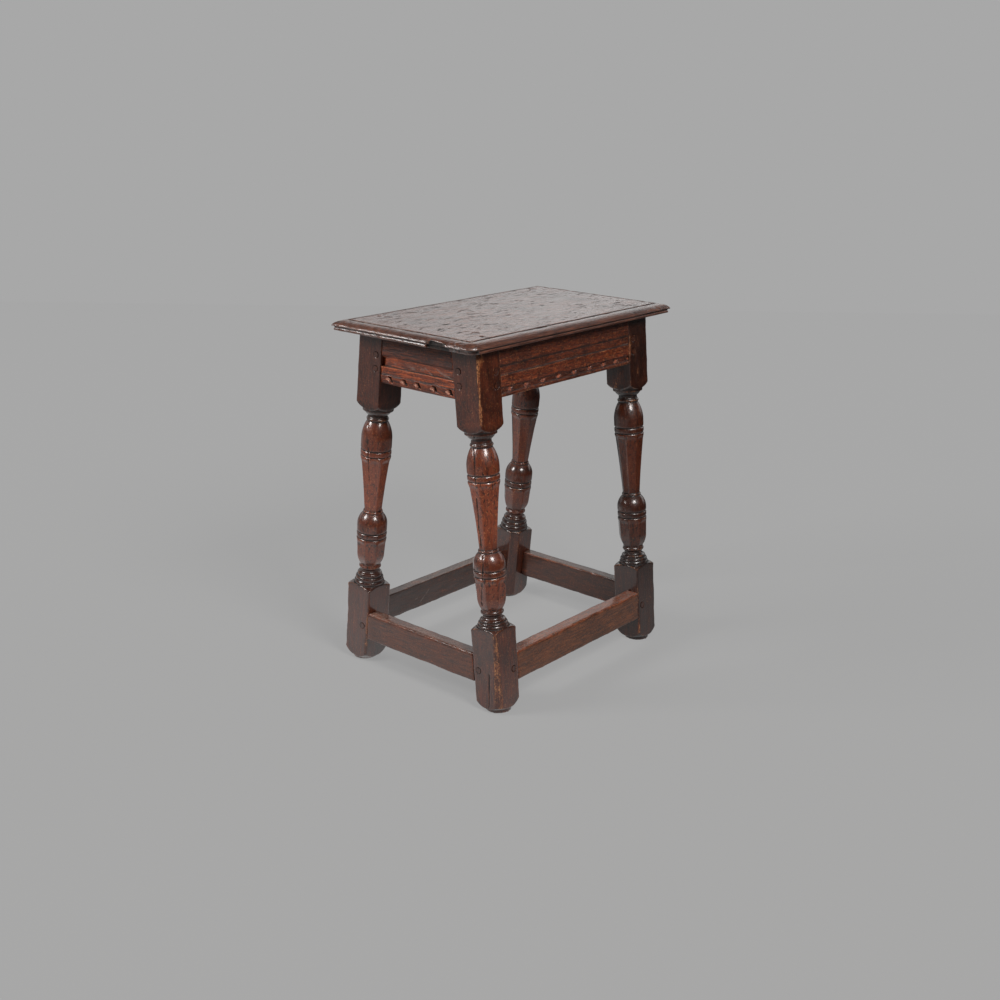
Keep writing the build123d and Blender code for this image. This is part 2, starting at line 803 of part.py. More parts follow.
def bar_body(kind, side):
    """A bar between its shoulders, before nicks, tenons and peg holes."""
    runs_along, bottom, height = bars[kind][:3]
    draw_face, setback, thickness = bar_sections[kind]

    def place(depth, rise):
        outward = leg_half - setback - depth
        if runs_along == "x":
            return side * lean_y(outward, bottom + rise), bottom + rise
        return side * (leg_axis_x + outward), bottom + rise

    with BuildPart() as body:
        with BuildSketch(Plane.YZ if runs_along == "x" else Plane.XZ):
            with BuildLine():
                first, last = draw_face(place, height)
                Polyline(last, place(thickness, height), place(thickness, 0), first)
            make_face()
        extrude(amount=leg_inner_x, both=True)
        if runs_along == "y":
            with BuildSketch(Plane.YZ):
                with BuildLine():
                    low = lean_y(-leg_half, bottom)
                    high = lean_y(-leg_half, bottom + height)
                    Polyline(
                        (-low, bottom),
                        (low, bottom),
                        (high, bottom + height),
                        (-high, bottom + height),
                        close=True,
                    )
                make_face()
            extrude(amount=frame_length, both=True, mode=Mode.INTERSECT)
    return body.part


scoop_radius = ((scoop_width / 2) ** 2 + scoop_depth ** 2) / (2 * scoop_depth)

# Both nicks are drawn on a rail's face: X points right, Y up and Z outwards.
with BuildPart() as scoop:
    stab = Plane(origin=(0, scoop_height / 2, 0), x_dir=(1, 0, 0), z_dir=(0, -1, 0))
    with BuildSketch(stab):
        with Locations((0, scoop_radius - scoop_depth)):
            Circle(scoop_radius)
    stroke = math.hypot(scoop_height, scoop_depth) + scoop_run_out
    extrude(amount=stroke, dir=(0, -scoop_height, scoop_depth))

with BuildPart() as stopped_wedge:
    with Locations(((stop_lean - wedge_length) / 2, 0, wedge_lift)):
        Cone(wedge_radius, wedge_tip_radius, wedge_length, rotation=(0, -90, 0))
    with BuildSketch(Plane.XY.offset(-stop_depth)):
        with BuildLine():
            Polyline(
                (-stop_lean / 2, stop_height / 2),
                (stop_width - stop_lean / 2, stop_height / 2),
                (stop_width + stop_lean / 2, -stop_height / 2),
                (stop_lean / 2, -stop_height / 2),
                close=True,
            )
        make_face()
    extrude(amount=stop_depth + margin)


def nicked(body, kind, side):
    """A rail's body with the row of nicks along its lower moulding."""
    runs_along, bottom = bars[kind][:2]
    if runs_along == "x":
        cutter, places, height = scoop.part, scoop_places, bottom + scoop_rise
        depth = rail_setback + long_nick_band_sink
        y = side * lean_y(leg_half - depth, height)
        outward = (0, side * math.cos(lean), math.sin(lean))
        planes = [
            Plane(origin=(side * (leg_inner_x - place), y, height),
                  x_dir=(-side, 0, 0), z_dir=outward)
            for place in places
        ]
    else:
        cutter, places, height = stopped_wedge.part, wedge_places, bottom + wedge_rise
        left_shoulder = lean_y(-leg_half, height)
        x = side * (leg_outer_x - rail_setback)
        planes = [
            Plane(origin=(x, side * (place - left_shoulder), height),
                  x_dir=(0, side, 0), z_dir=(side, 0, 0))
            for place in places
        ]
    with BuildPart() as rail:
        add(body)
        with Locations(*planes):
            add(cutter, mode=Mode.SUBTRACT)
    return rail.part


def make_bar(name, kind, side):
    """A rail or stretcher with its tenons, on the side of the stool that side points to."""
    runs_along = bars[kind][0]
    ends = [(end, side) if runs_along == "x" else (side, end) for end in (-1, 1)]
    with BuildPart() as bar:
        if kind.endswith("rail"):
            add(nicked(bar_body(kind, side), kind, side))
        else:
            add(bar_body(kind, side))
        if name == "rail_left":
            arris = short_rail_bottom + short_nick_band + short_hollow_band
            gap = leaning_bar(
                (-leg_half - gap_width, -leg_half + margin),
                (arris, arris + gap_height),
                (leg_outer_x - rail_setback - gap_depth, leg_outer_x),
                *corners["back_left"],
            )
            add(gap, mode=Mode.SUBTRACT)
        for end in ends:
            add(tenon(kind, *end))
            add(peg_holes(kind, *end), mode=Mode.SUBTRACT)
    finish(bar, name)


def make_bar_pegs(name, kind, side):
    """All the pegs that hold one bar, as separate solids in one piece."""
    runs_along = bars[kind][0]
    ends = [(end, side) if runs_along == "x" else (side, end) for end in (-1, 1)]
    with BuildPart() as pegs:
        for end in ends:
            for plane in peg_planes(kind, *end):
                add(whittled_peg(plane, peg_radius, peg_tip_radius, peg_length, peg_proud))
    finish(pegs, name)


for place_name, length_name, side in (
    ("front", "long", -1),
    ("back", "long", 1),
    ("left", "short", -1),
    ("right", "short", 1),
):
    for bar_name in ("rail", "stretcher"):
        kind = f"{length_name}_{bar_name}"
        make_bar(f"{bar_name}_{place_name}", kind, side)
        make_bar_pegs(f"pegs_{bar_name}_{place_name}", kind, side)
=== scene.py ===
import functools
import math

import bpy
import numpy as np
from mathutils import Matrix, Vector


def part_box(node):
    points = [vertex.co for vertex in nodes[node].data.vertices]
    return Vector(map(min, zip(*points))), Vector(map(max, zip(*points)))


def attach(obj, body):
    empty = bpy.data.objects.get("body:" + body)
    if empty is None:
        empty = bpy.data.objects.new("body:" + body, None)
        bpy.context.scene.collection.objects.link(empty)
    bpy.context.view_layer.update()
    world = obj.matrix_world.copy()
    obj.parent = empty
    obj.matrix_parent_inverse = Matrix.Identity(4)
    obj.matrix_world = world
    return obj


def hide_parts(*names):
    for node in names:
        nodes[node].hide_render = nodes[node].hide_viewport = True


# An old oak joint stool: a dark, waxed seat board on a frame of turned legs, moulded rails and
# stretchers. Metres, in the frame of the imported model: +Z up, +X along the seat, the front at -Y.

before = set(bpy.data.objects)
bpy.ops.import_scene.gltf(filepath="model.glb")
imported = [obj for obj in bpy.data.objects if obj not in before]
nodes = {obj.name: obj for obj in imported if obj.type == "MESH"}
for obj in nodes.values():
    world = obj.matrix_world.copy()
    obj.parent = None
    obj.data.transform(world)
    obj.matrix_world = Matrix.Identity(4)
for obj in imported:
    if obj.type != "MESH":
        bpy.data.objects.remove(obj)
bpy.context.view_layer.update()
scene = bpy.context.scene

MM = 0.001

# ---- Sizes of the frame that the finishing follows ---------------------------------------------
LEG_SIDE = 47.3 * MM
LEG_LEAN = math.radians(5.37)
CORNERS = {
    "front_left": (-1, -1),
    "front_right": (1, -1),
    "back_left": (-1, 1),
    "back_right": (1, 1),
}
SIDES = ("front", "back", "left", "right")
LONG_SIDES = ("front", "back")

# ---- Camera, its angles in degrees and its lens in millimetres ---------------------------------
CAMERA_TARGET = Vector((-5.60, 6.63, 248.72)) * MM
CAMERA_DISTANCE = 2.0934
CAMERA_AZIMUTH = -49.576
CAMERA_ELEVATION = 18.092
CAMERA_ROLL = 0.740
CAMERA_LENS = 47.606
CAMERA_SENSOR = 36.0

# ---- Resolution of the worked surfaces ---------------------------------------------------------
COARSE = 1.0
LEG_GRID = 1.1 * MM * COARSE
SEAT_GRID = 1.25 * MM * COARSE
RAIL_GRID = 1.0 * MM * COARSE
STRETCHER_GRID = 1.4 * MM * COARSE


# ---- Smooth random fields ----------------------------------------------------------------------
def lattice(cells, seed):
    """A repeatable random number from -1 to 1 for every lattice point."""
    x, y, z = (cells[:, axis].astype(np.int64) for axis in range(3))
    mixed = (x * 374761393 + y * 668265263 + z * 1442695041 + seed * 974711) & 0xFFFFFFFF
    mixed = ((mixed ^ (mixed >> 13)) * 1274126177) & 0xFFFFFFFF
    mixed ^= mixed >> 16
    return (mixed & 0xFFFFFF) / 0x7FFFFF - 1.0


def noise(points, size, seed):
    """Smooth noise from -1 to 1 with features about as wide as size, which may differ by axis."""
    scaled = points / np.asarray(size, float)
    cell = np.floor(scaled)
    part = scaled - cell
    part = part * part * (3 - 2 * part)
    total = np.zeros(len(points))
    for corner in np.ndindex(2, 2, 2):
        weight = np.prod(np.where(corner, part, 1 - part), axis=1)
        total += weight * lattice(cell + np.array(corner), seed)
    return total


def layered_noise(points, size, seed, layers=3):
    """Noise with finer and fainter layers over the first."""
    size = np.asarray(size, float)
    total = np.zeros(len(points))
    for layer in range(layers):
        total += noise(points, size / 2**layer, seed + layer) / 2**layer
    return total


def step(values, low, high):
    """0 at low, 1 at high and smooth between them."""
    share = np.clip((values - low) / (high - low), 0, 1)
    return share * share * (3 - 2 * share)


def levels_at(steps, values):
    """The level at each of the values, from pairs of a place and the level there."""
    places, levels = zip(*steps)
    return np.interp(values, places, levels)


# ---- Worked surfaces ---------------------------------------------------------------------------
ARRIS_RELIEF = 0.45 * MM
HOLLOW_RELIEF = 0.32 * MM


def fine_mesh(source, grid, name):
    """An even mesh on the surface of a CAD node."""
    rough = bpy.data.objects.new(name, source.data.copy())
    scene.collection.objects.link(rough)
    remesh = rough.modifiers.new("fine grid", "REMESH")
    remesh.mode = "VOXEL"
    remesh.voxel_size = grid
    settle = rough.modifiers.new("back on the form", "SHRINKWRAP")
    settle.target = source
    settle.wrap_method = "NEAREST_SURFACEPOINT"
    graph = bpy.context.evaluated_depsgraph_get()
    mesh = bpy.data.meshes.new_from_object(rough.evaluated_get(graph))
    bpy.data.objects.remove(rough)
    mesh.materials.clear()
    mesh.shade_smooth()
    return mesh


class Surface:
    """A fine mesh over one CAD node, whose points can be worn and dented."""

    def __init__(self, node, grid, name):
        self.node = node
        self.mesh = fine_mesh(nodes[node], grid, name)
        self.object = bpy.data.objects.new(name, self.mesh)
        scene.collection.objects.link(self.object)
        self.read()
        self.low, self.high = self.points.min(0), self.points.max(0)

    def read(self):
        count = len(self.mesh.vertices)
        flat = np.empty(count * 3, np.float32)
        self.mesh.vertices.foreach_get("co", flat)
        self.points = flat.reshape(-1, 3).astype(float)
        ends = np.empty(len(self.mesh.edges) * 2, np.int32)
        self.mesh.edges.foreach_get("vertices", ends)
        self.ends = ends.reshape(-1, 2)
        self.degree = np.maximum(np.bincount(ends, minlength=count), 1)

    def write(self):
        self.mesh.vertices.foreach_set("co", self.points.astype(np.float32).ravel())
        self.mesh.update()

    def normals(self):
        self.write()
        flat = np.empty(len(self.points) * 3, np.float32)
        self.mesh.vertex_normals.foreach_get("vector", flat)
        return flat.reshape(-1, 3).astype(float)

    def around(self, values):
        """The mean of each point's neighbours."""
        first, second = self.ends.T
        count = len(self.degree)
        columns = []
        for column in values.reshape(count, -1).T:
            total = np.bincount(first, column[second], count)
            total += np.bincount(second, column[first], count)
            columns.append(total / self.degree)
        return np.stack(columns, axis=1).reshape(values.shape)

    def relief(self, rounds):
        """How far each point stands out (above 0) or back from the smoothed surface, in metres."""
        smooth = self.points
        for _ in range(rounds):
            smooth = 0.5 * smooth + 0.5 * self.around(smooth)
        return np.einsum("ij,ij->i", self.points - smooth, self.normals())

    def push(self, amount):
        """Moves every point along its normal."""
        self.points = self.points + self.normals() * np.asarray(amount)[:, None]

    def mark(self, name, values):
        """Keeps one value per point for the material."""
        layer = self.mesh.attributes.new(name, "FLOAT", "POINT")
        layer.data.foreach_set("value", np.asarray(values, np.float32))

    def stay_inside(self):
        """No point leaves the node's own box."""
        self.points = np.clip(self.points, self.low, self.high)

    def finish(self, material):
        """Notes the arrises and hollows, writes the mesh and puts it in the node's place."""
        relief = self.relief(6)
        self.mark("arris", np.clip(relief / ARRIS_RELIEF, 0, 1))
        self.mark("hollow", np.clip(-relief / HOLLOW_RELIEF, 0, 1))
        self.stay_inside()
        self.write()
        self.mesh.materials.append(material)
        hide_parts(self.node)
        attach(self.object, "root")


def wear_arrises(surface, depth, seed):
    """Rubs sharp edges down unevenly."""
    relief = np.clip(surface.relief(8) / (0.6 * MM), 0, 1)
    uneven = 0.55 + 0.45 * layered_noise(surface.points, 14 * MM, seed)
    surface.push(-depth * relief * uneven)


def plane_arris(surface, outward, directions, depth, keep):
    """Takes a flat off one arris: outward holds two distances of each point from the arris's faces.

    directions are the outward directions of the two faces. depth is how far down each face the
    flat reaches, for every point, and keep is the share of the flat that is really cut.
    """
    over = np.clip(outward[0] + outward[1] + depth, 0, None) * keep
    moved = over[:, None] / 2 * (np.asarray(directions[0]) + np.asarray(directions[1]))
    surface.points = surface.points - moved
    return over > 0


def hand_worked(surface, depth, size, seed):
    """The slight unevenness of a planed or turned surface."""
    surface.push(depth * layered_noise(surface.points, size, seed))


def distance_to_line(points, line):
    """How far each point lies from a line of short straight pieces, given in millimetres."""
    nearest = np.full(len(points), np.inf)
    for first, last in zip(line, line[1:]):
        start = np.array(first) * MM
        reach = np.array(last) * MM - start
        share = np.clip((points - start) @ reach / (reach @ reach), 0, 1)
        gap = np.linalg.norm(points - start - share[:, None] * reach, axis=1)
        nearest = np.minimum(nearest, gap)
    return nearest


# ---- Shader helpers ----------------------------------------------------------------------------
def colour(red, green, blue):
    """A colour given as it looks on a screen, from 0 to 255, as the shader needs it."""
    linear = []
    for value in (red, green, blue):
        share = value / 255
        linear.append(share / 12.92 if share <= 0.04045 else ((share + 0.055) / 1.055) ** 2.4)
    return (*linear, 1.0)


class Shader:
    """Builds one node material from short calls. Values in and out are sockets or numbers."""

    def __init__(self, name):
        self.material = bpy.data.materials.new(name)
        self.material.use_nodes = True
        self.tree = self.material.node_tree
        self.tree.nodes.clear()

    def node(self, kind, inputs=(), **settings):
        made = self.tree.nodes.new("ShaderNode" + kind)
        for key, value in settings.items():
            setattr(made, key, value)
        for key, value in dict(inputs).items():
            self.feed(made.inputs[key], value)
        return made

    def feed(self, socket, value):
        if isinstance(value, bpy.types.NodeSocket):
            self.tree.links.new(value, socket)
        else:
            socket.default_value = value

    def math(self, operation, first, second=0.0, clamp=False):
        made = self.node("Math", {0: first, 1: second}, operation=operation, use_clamp=clamp)
        return made.outputs[0]

    def add(self, first, second):
        return self.math("ADD", first, second)

    def times(self, first, second):
        return self.math("MULTIPLY", first, second)

    def most(self, first, second):
        return self.math("MAXIMUM", first, second)

    def weighed(self, *parts):
        """The sum of every value times its weight."""
        return functools.reduce(self.add, [self.times(value, weight) for value, weight in parts])

    def dot(self, first, second):
        made = self.node("VectorMath", {0: first, 1: second}, operation="DOT_PRODUCT")
        return made.outputs["Value"]

    def vector(self, x, y, z):
        return self.node("CombineXYZ", {0: x, 1: y, 2: z}).outputs[0]

    def moved(self, vector, shift):
        return self.node("VectorMath", {0: vector, 1: shift}, operation="ADD").outputs[0]

    def scaled(self, vector, factors):
        return self.node("VectorMath", {0: vector, 1: factors}, operation="MULTIPLY").outputs[0]

    def length(self, vector):
        return self.node("VectorMath", {0: vector}, operation="LENGTH").outputs["Value"]

    def noise(self, vector, scale, detail, roughness=0.5, distortion=0.0):
        inputs = {"Vector": vector, "Scale": scale, "Detail": detail}
        inputs |= {"Roughness": roughness, "Distortion": distortion}
        return self.node("TexNoise", inputs).outputs["Fac"]

    def between(self, value, low, high, to_low=0.0, to_high=1.0):
        """value's place between low and high, smoothed and held to 0 to 1, or to the last two."""
        inputs = {"Value": value, "From Min": low, "From Max": high}
        inputs |= {"To Min": to_low, "To Max": to_high}
        return self.node("MapRange", inputs, interpolation_type="SMOOTHSTEP").outputs[0]

    def mix(self, share, first, second, blend="MIX"):
        made = self.node("Mix", data_type="RGBA", blend_type=blend)
        self.feed(made.inputs[0], share)
        self.feed(made.inputs[6], first)
        self.feed(made.inputs[7], second)
        return made.outputs[2]

    def attribute(self, name):
        return self.node("Attribute", attribute_name=name).outputs["Fac"]

    def bump(self, height, distance, strength):
        inputs = {"Height": height, "Distance": distance, "Strength": strength}
        return self.node("Bump", inputs).outputs[0]


# ---- Oak ---------------------------------------------------------------------------------------
PORE_BLACK = colour(17, 9, 8)
# Near black for soiling, and for painted shade in the rails' stops, scoops and moulding lines and in the
# seat's holes
GRIME_AND_SHADE_BLACK = colour(14, 9, 8)
# Pale grey for dust, and for a painted sheen on the stretchers' tops
DUST_AND_SHEEN_GREY = colour(126, 112, 104)
RINGS_PER_METRE = 230.0


class OakShader(Shader):
    """The patterns of old waxed oak, and the colours and reliefs made from them."""

    def __init__(self, name, grain, seed, heart, look):
        super().__init__(name)
        self.look = look
        self.place = self.node("TexCoord").outputs["Object"]
        along_axis = Vector(grain).normalized()
        across_axis = along_axis.orthogonal().normalized()
        third_axis = along_axis.cross(across_axis)
        moved = self.moved(self.place, Vector((0.371, 0.113, 0.257)) * seed)
        axes = (along_axis, across_axis, third_axis)
        self.lengthwise = self.vector(*(self.dot(moved, axis) for axis in axes))
        self.early = self.early_wood(across_axis, third_axis, heart)
        self.set_figure()
        self.set_stains()

    def grained(self, run, across, detail, roughness=0.5, distortion=0.0):
        """Noise drawn out along the fibres, with run features in a metre, and across the other way."""
        stretched = self.scaled(self.lengthwise, (run, across, across))
        return self.noise(stretched, 1.0, detail, roughness, distortion)

    def early_wood(self, across_axis, third_axis, heart):
        """The soft side of growth rings round a centre outside the timber, bent by slow drift."""
        drift = self.grained(6.0, 22.0, 3.0)
        ring_x = self.add(self.dot(self.place, across_axis), heart[0])
        ring_y = self.add(self.dot(self.place, third_axis), heart[1])
        radius = self.length(self.vector(ring_x, ring_y, 0.0))
        rings = self.weighed((radius, RINGS_PER_METRE), (drift, 9.0))
        return self.between(self.math("FRACT", rings), 0.0, 0.4, 1.0, 0.0)

    def set_figure(self):
        """Fibres, light and dark streaks, and the open pores that crowd into the early wood."""
        self.fibre = self.grained(45.0, 800.0, 3.0, 0.6)
        self.streak = self.grained(self.look["run"], 380.0, 5.0, 0.68, 0.5)
        self.vein = self.times(self.between(self.streak, 0.47, 0.66), self.look["streaks"])
        self.shade = self.times(self.between(self.streak, 0.50, 0.36), self.look["streaks"])
        stretched = self.scaled(self.lengthwise, (110.0, 1300.0, 1300.0))
        cells = self.node("TexVoronoi", {"Vector": stretched, "Scale": 1.0}).outputs["Distance"]
        crowd = self.between(self.add(self.early, self.fibre), 0.55, 1.15)
        self.pore = self.times(self.between(cells, 0.18, 0.36, 1.0, 0.0), crowd)

    def set_stains(self):
        """Slow stains, patches where the wax is thick or rubbed thin, small specks and dark dots."""
        self.cloud = self.noise(self.place, 16.0, 4.0, 0.6)
        self.patch = self.grained(26.0, 80.0, 5.0, 0.65)
        self.speck = self.noise(self.place, 420.0, 3.0, 0.7)
        self.spots = self.grained(170.0, 330.0, 3.0, 0.6)
        self.bright = self.attribute("bright")
        dots = self.times(self.between(self.spots, 0.52, 0.63), self.look["specks"])
        dots = self.times(dots, self.between(self.bright, 0.0, 1.0, 0.55, 1.0))
        self.dots = self.times(dots, self.between(self.cloud, 0.38, 0.56, 0.45, 1.0))

    def body_colour(self, tint, fleck):
        """The polished wood, from its dark rings and stains to its light veins and flecks."""
        dark, middle, light = tint
        body = self.mix(self.between(self.patch, 0.3, 0.66), dark, middle)
        body = self.mix(self.vein, body, light)
        body = self.mix(self.times(self.shade, 0.75), body, dark)
        body = self.mix(self.times(self.between(self.fibre, 0.42, 0.72), 0.45), body, light)
        body = self.mix(self.times(self.between(self.cloud, 0.5, 0.7), 0.6), body, dark)
        body = self.mix(self.times(self.early, 0.35), body, dark)
        body = self.mix(self.times(self.bright, 0.45), body, self.mix(self.patch, middle, light))
        body = self.mix(self.most(self.times(self.pore, 0.8), self.dots), body, PORE_BLACK)
        flecks = self.times(self.between(self.speck, 0.56, 0.66), self.look["flecks"])
        body = self.mix(flecks, body, self.mix(0.5, light, fleck))
        tone = self.add(self.attribute("tone"), 1.0)
        return self.mix(1.0, body, self.vector(tone, tone, tone), blend="MULTIPLY")

    def worn_colour(self, body, middle, wear_colour):
        """Bare wood on rubbed arrises and in fresh cuts."""
        swings = ((self.speck, 1.4), (self.patch, 2.4), (self.spots, 1.2))
        noisy = self.weighed(*((self.add(value, -0.5), weight) for value, weight in swings))
        bare = self.between(self.add(self.attribute("arris"), noisy), 0.45, 0.95)
        rubbed = self.between(self.add(self.attribute("rubbed"), noisy), 0.35, 0.75)
        bare = self.most(self.times(bare, self.look["wear"]), rubbed)
        bare_tone = self.mix(self.between(self.fibre, 0.4, 0.7), wear_colour[0], wear_colour[1])
        bare_tone = self.mix(self.between(self.spots, 0.5, 0.66), bare_tone, middle)
        body = self.mix(bare, body, bare_tone)
        cut = self.add(self.attribute("fresh"), self.times(noisy, 0.35))
        cut_tone = self.mix(self.between(self.speck, 0.42, 0.62), wear_colour[2], wear_colour[3])
        return self.mix(self.between(cut, 0.4, 0.7), body, cut_tone)

    def grime_dust_shade_and_sheen_colour(self, body):
        """Black in the soiled hollows and wherever the pieces mark soiling or painted shade, with dust
        over it, and dust on what faces up, which on the stretchers' tops is partly a painted sheen.
        """
        hollow = self.attribute("hollow")
        clean = self.between(self.attribute("fresh"), 0.2, 0.8, 1.0, 0.0)
        deep = self.times(self.between(hollow, 0.2, 0.75), clean)
        dirt_and_shade = self.most(deep, self.attribute("grime_and_shade"))
        self.black = self.math("MULTIPLY", dirt_and_shade, 0.93, clamp=True)
        body = self.mix(self.black, body, GRIME_AND_SHADE_BLACK)
        up = self.dot(self.node("NewGeometry").outputs["Normal"], (0.0, 0.0, 1.0))
        # Pale dust on what faces up, which on the stretchers' tops is partly a painted sheen
        settled_dust_and_sheen = self.times(self.between(up, 0.35, 0.95), self.look["top_dust_and_sheen"])
        caught = self.times(self.between(hollow, 0.1, 0.5), self.look["dust"])
        dust_and_sheen = self.times(self.most(settled_dust_and_sheen, caught), self.between(self.speck, 0.38, 0.62))
        dust_and_sheen = self.times(dust_and_sheen, self.between(self.patch, 0.38, 0.58))
        pale = self.times(self.attribute("pale"), self.between(self.speck, 0.3, 0.55))
        self.dust_and_sheen = self.most(dust_and_sheen, pale)
        return self.mix(self.dust_and_sheen, body, DUST_AND_SHEEN_GREY)

    def roughness(self):
        """Smoother under much wax, rougher in pores, dust and dirt."""
        wax = self.look["wax"]
        rough = self.between(self.patch, 0.3, 0.7, 0.50 - 0.16 * wax, 0.60 - 0.16 * wax)
        marks = self.weighed((self.pore, 0.2), (self.dust_and_sheen, 0.35), (self.black, 0.25))
        speckle = self.times(self.add(self.speck, -0.5), 0.16)
        return self.add(self.add(rough, marks), speckle)

    def grain_relief(self):
        """Raised veins, and sunk pores and early wood."""
        height = self.weighed(
            (self.fibre, 0.4), (self.speck, 0.2), (self.pore, -0.9),
            (self.early, -0.3), (self.vein, 0.6), (self.shade, -0.6),
        )
        return self.bump(height, 0.35 * MM, 0.6)

    def wax_relief(self):
        """The soft waves in the polish."""
        waves = self.weighed((self.patch, 1.0), (self.streak, 0.6), (self.dots, -0.35))
        return self.bump(waves, (0.5 + 1.6 * self.look["ripple"]) * MM, 0.3)


def oak(name, grain, tint, seed, heart, wear_colour, look):
    """Old waxed oak.

    grain is the direction that the fibres run in. tint holds the dark, the middle and the light
    colour. heart is how far away the tree's centre lies, across the grain. wear_colour holds two
    tones of rubbed wood and two of cut wood. look holds the amounts of wear, dust, top_dust_and_sheen,
    specks, flecks, streaks, ripple and wax, from 0 to 1, and run, the streaks' number in a metre.
    """
    make = OakShader(name, grain, seed, heart, look)
    body = make.body_colour(tint, wear_colour[1])
    body = make.worn_colour(body, tint[1], wear_colour)
    body = make.grime_dust_shade_and_sheen_colour(body)
    waxed = 0.15 + 0.85 * look["wax"]
    inputs = {
        "Base Color": body,
        "Roughness": make.roughness(),
        "Normal": make.grain_relief(),
        "IOR": 1.5,
        "Coat Weight": make.times(waxed, make.add(1.0, make.times(make.black, -0.9))),
        "Coat Roughness": 0.055 + 0.04 * look["ripple"],
        "Coat IOR": 1.65 if look["ripple"] == 1 else 1.5,
        "Coat Normal": make.wax_relief(),
    }
    shader = make.node("BsdfPrincipled", inputs)
    output = make.node("OutputMaterial", {"Surface": shader.outputs[0]})
    output.is_active_output = True
    return make.material


# ---- Tints and looks of the pieces, as oak takes them ------------------------------------------
LEG_TINT = (colour(46, 17, 8), colour(78, 31, 15), colour(112, 52, 26))
RAIL_TINT = (colour(44, 14, 5), colour(86, 32, 13), colour(136, 61, 26))
SEAT_TINT = (colour(62, 30, 20), colour(104, 54, 38), colour(146, 90, 66))
# The inside of the chip: near black, as painted shade
CHIP_SHADE_TINT = (colour(16, 10, 8), colour(28, 17, 12), colour(60, 38, 28))
STRETCHER_TINT = (colour(42, 22, 15), colour(68, 35, 22), colour(102, 55, 34))
FRONT_STRETCHER_TINT = (colour(46, 26, 16), colour(74, 41, 24), colour(118, 68, 38))
PEG_TINT = (colour(40, 16, 9), colour(68, 29, 16), colour(98, 48, 27))
GOLD = (colour(118, 60, 30), colour(196, 138, 88), colour(92, 42, 24), colour(160, 84, 52))
ORANGE = (colour(150, 62, 20), colour(196, 104, 46), colour(178, 108, 84), colour(228, 172, 146))
RUSSET = (colour(112, 46, 22), colour(166, 90, 48), colour(112, 46, 22), colour(166, 90, 48))
PALE = (colour(112, 66, 46), colour(160, 112, 86), colour(92, 56, 42), colour(160, 128, 108))
LEG_LOOK = dict(
    wear=0.6, dust=0.12, top_dust_and_sheen=0.1, specks=0.9, flecks=0.3, streaks=0.3, run=26.0, ripple=0.0, wax=0.9
)
LONG_RAIL_LOOK = dict(
    wear=0.7, dust=0.15, top_dust_and_sheen=0.2, specks=0.8, flecks=0.5, streaks=0.7, run=110.0, ripple=0.5, wax=0.15
)
SHORT_RAIL_LOOK = dict(
    wear=0.8, dust=0.3, top_dust_and_sheen=0.3, specks=0.8, flecks=0.5, streaks=1.0, run=34.0, ripple=0.9, wax=0.12
)
# The stretchers' heavy top dust is partly a painted sheen on their lit tops
STRETCHER_LOOK = dict(
    wear=0.9, dust=0.3, top_dust_and_sheen=0.8, specks=0.6, flecks=0.4, streaks=0.35, run=40.0, ripple=0.4, wax=0.5
)
SEAT_LOOK = dict(
    wear=0.25, dust=0.2, top_dust_and_sheen=0.1, specks=0.7, flecks=0.2, streaks=0.8, run=26.0, ripple=1.0, wax=1.0
)
# The look of the chip's painted shade, with little wax to reflect
CHIP_SHADE_LOOK = dict(
    wear=0.4, dust=0.0, top_dust_and_sheen=0.0, specks=0.6, flecks=0.5, streaks=0.6, run=60.0, ripple=0.5, wax=0.0
)
PEG_LOOK = dict(
    wear=0.3, dust=0.3, top_dust_and_sheen=0.0, specks=0.6, flecks=0.4, streaks=0.4, run=26.0, ripple=0.3, wax=0.6
)


# ---- Legs --------------------------------------------------------------------------------------
def leg_direction(corner):
    return Vector((0, -CORNERS[corner][1] * math.sin(LEG_LEAN), math.cos(LEG_LEAN)))


class LegFrame:
    """Distances along and across one leg, from its own axis."""

    def __init__(self, corner, points):
        self.side = CORNERS[corner]
        low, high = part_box(f"leg_{corner}")
        self.direction = leg_direction(corner)
        self.out_x = Vector((self.side[0], 0, 0))
        self.out_y = Vector((0, self.side[1] * math.cos(LEG_LEAN), math.sin(LEG_LEAN)))
        inner = high.y if self.side[1] < 0 else low.y
        middle_y = inner + self.side[1] * LEG_SIDE / 2 / math.cos(LEG_LEAN)
        top = Vector(((low.x + high.x) / 2, middle_y, high.z))
        from_top = points - np.array(top)
        self.x = from_top @ np.array(self.out_x)
        self.y = from_top @ np.array(self.out_y)
        self.down = -(from_top @ np.array(self.direction))
        self.up = high.z / math.cos(LEG_LEAN) - self.down
        self.level = points[:, 2]

    def arris(self, toward_x, toward_y):
        """The distances and directions that plane_arris needs for one of the four arrises."""
        distances = (toward_x * self.x - LEG_SIDE / 2, toward_y * self.y - LEG_SIDE / 2)
        return distances, (toward_x * self.out_x, toward_y * self.out_y)


# How far the flat on each arris of the blocks reaches down its faces, in millimetres: at the top
# block, and at the top and the bottom of the foot block. The arrises are named by their sides,
# outwards or inwards along X and Y.
ARRIS_WEAR = {
    "front_left": {(1, 1): (2.7, 0.0, 0.0), (1, -1): (1.0, 1.4, 2.5), (-1, 1): (1.2, 1.6, 2.5)},
    "front_right": {(-1, 1): (1.4, 1.4, 2.0), (1, 1): (1.2, 2.0, 3.0)},
    "back_left": {(1, -1): (1.2, 1.8, 2.5), (1, 1): (1.2, 2.0, 3.0)},
    "back_right": {(-1, -1): (1.2, 0.0, 0.0), (1, 1): (1.2, 2.0, 3.0)},
}
TOP_BLOCK = 104 * MM
FOOT_BLOCK = 124 * MM
BLOCK_BLEND = 8 * MM
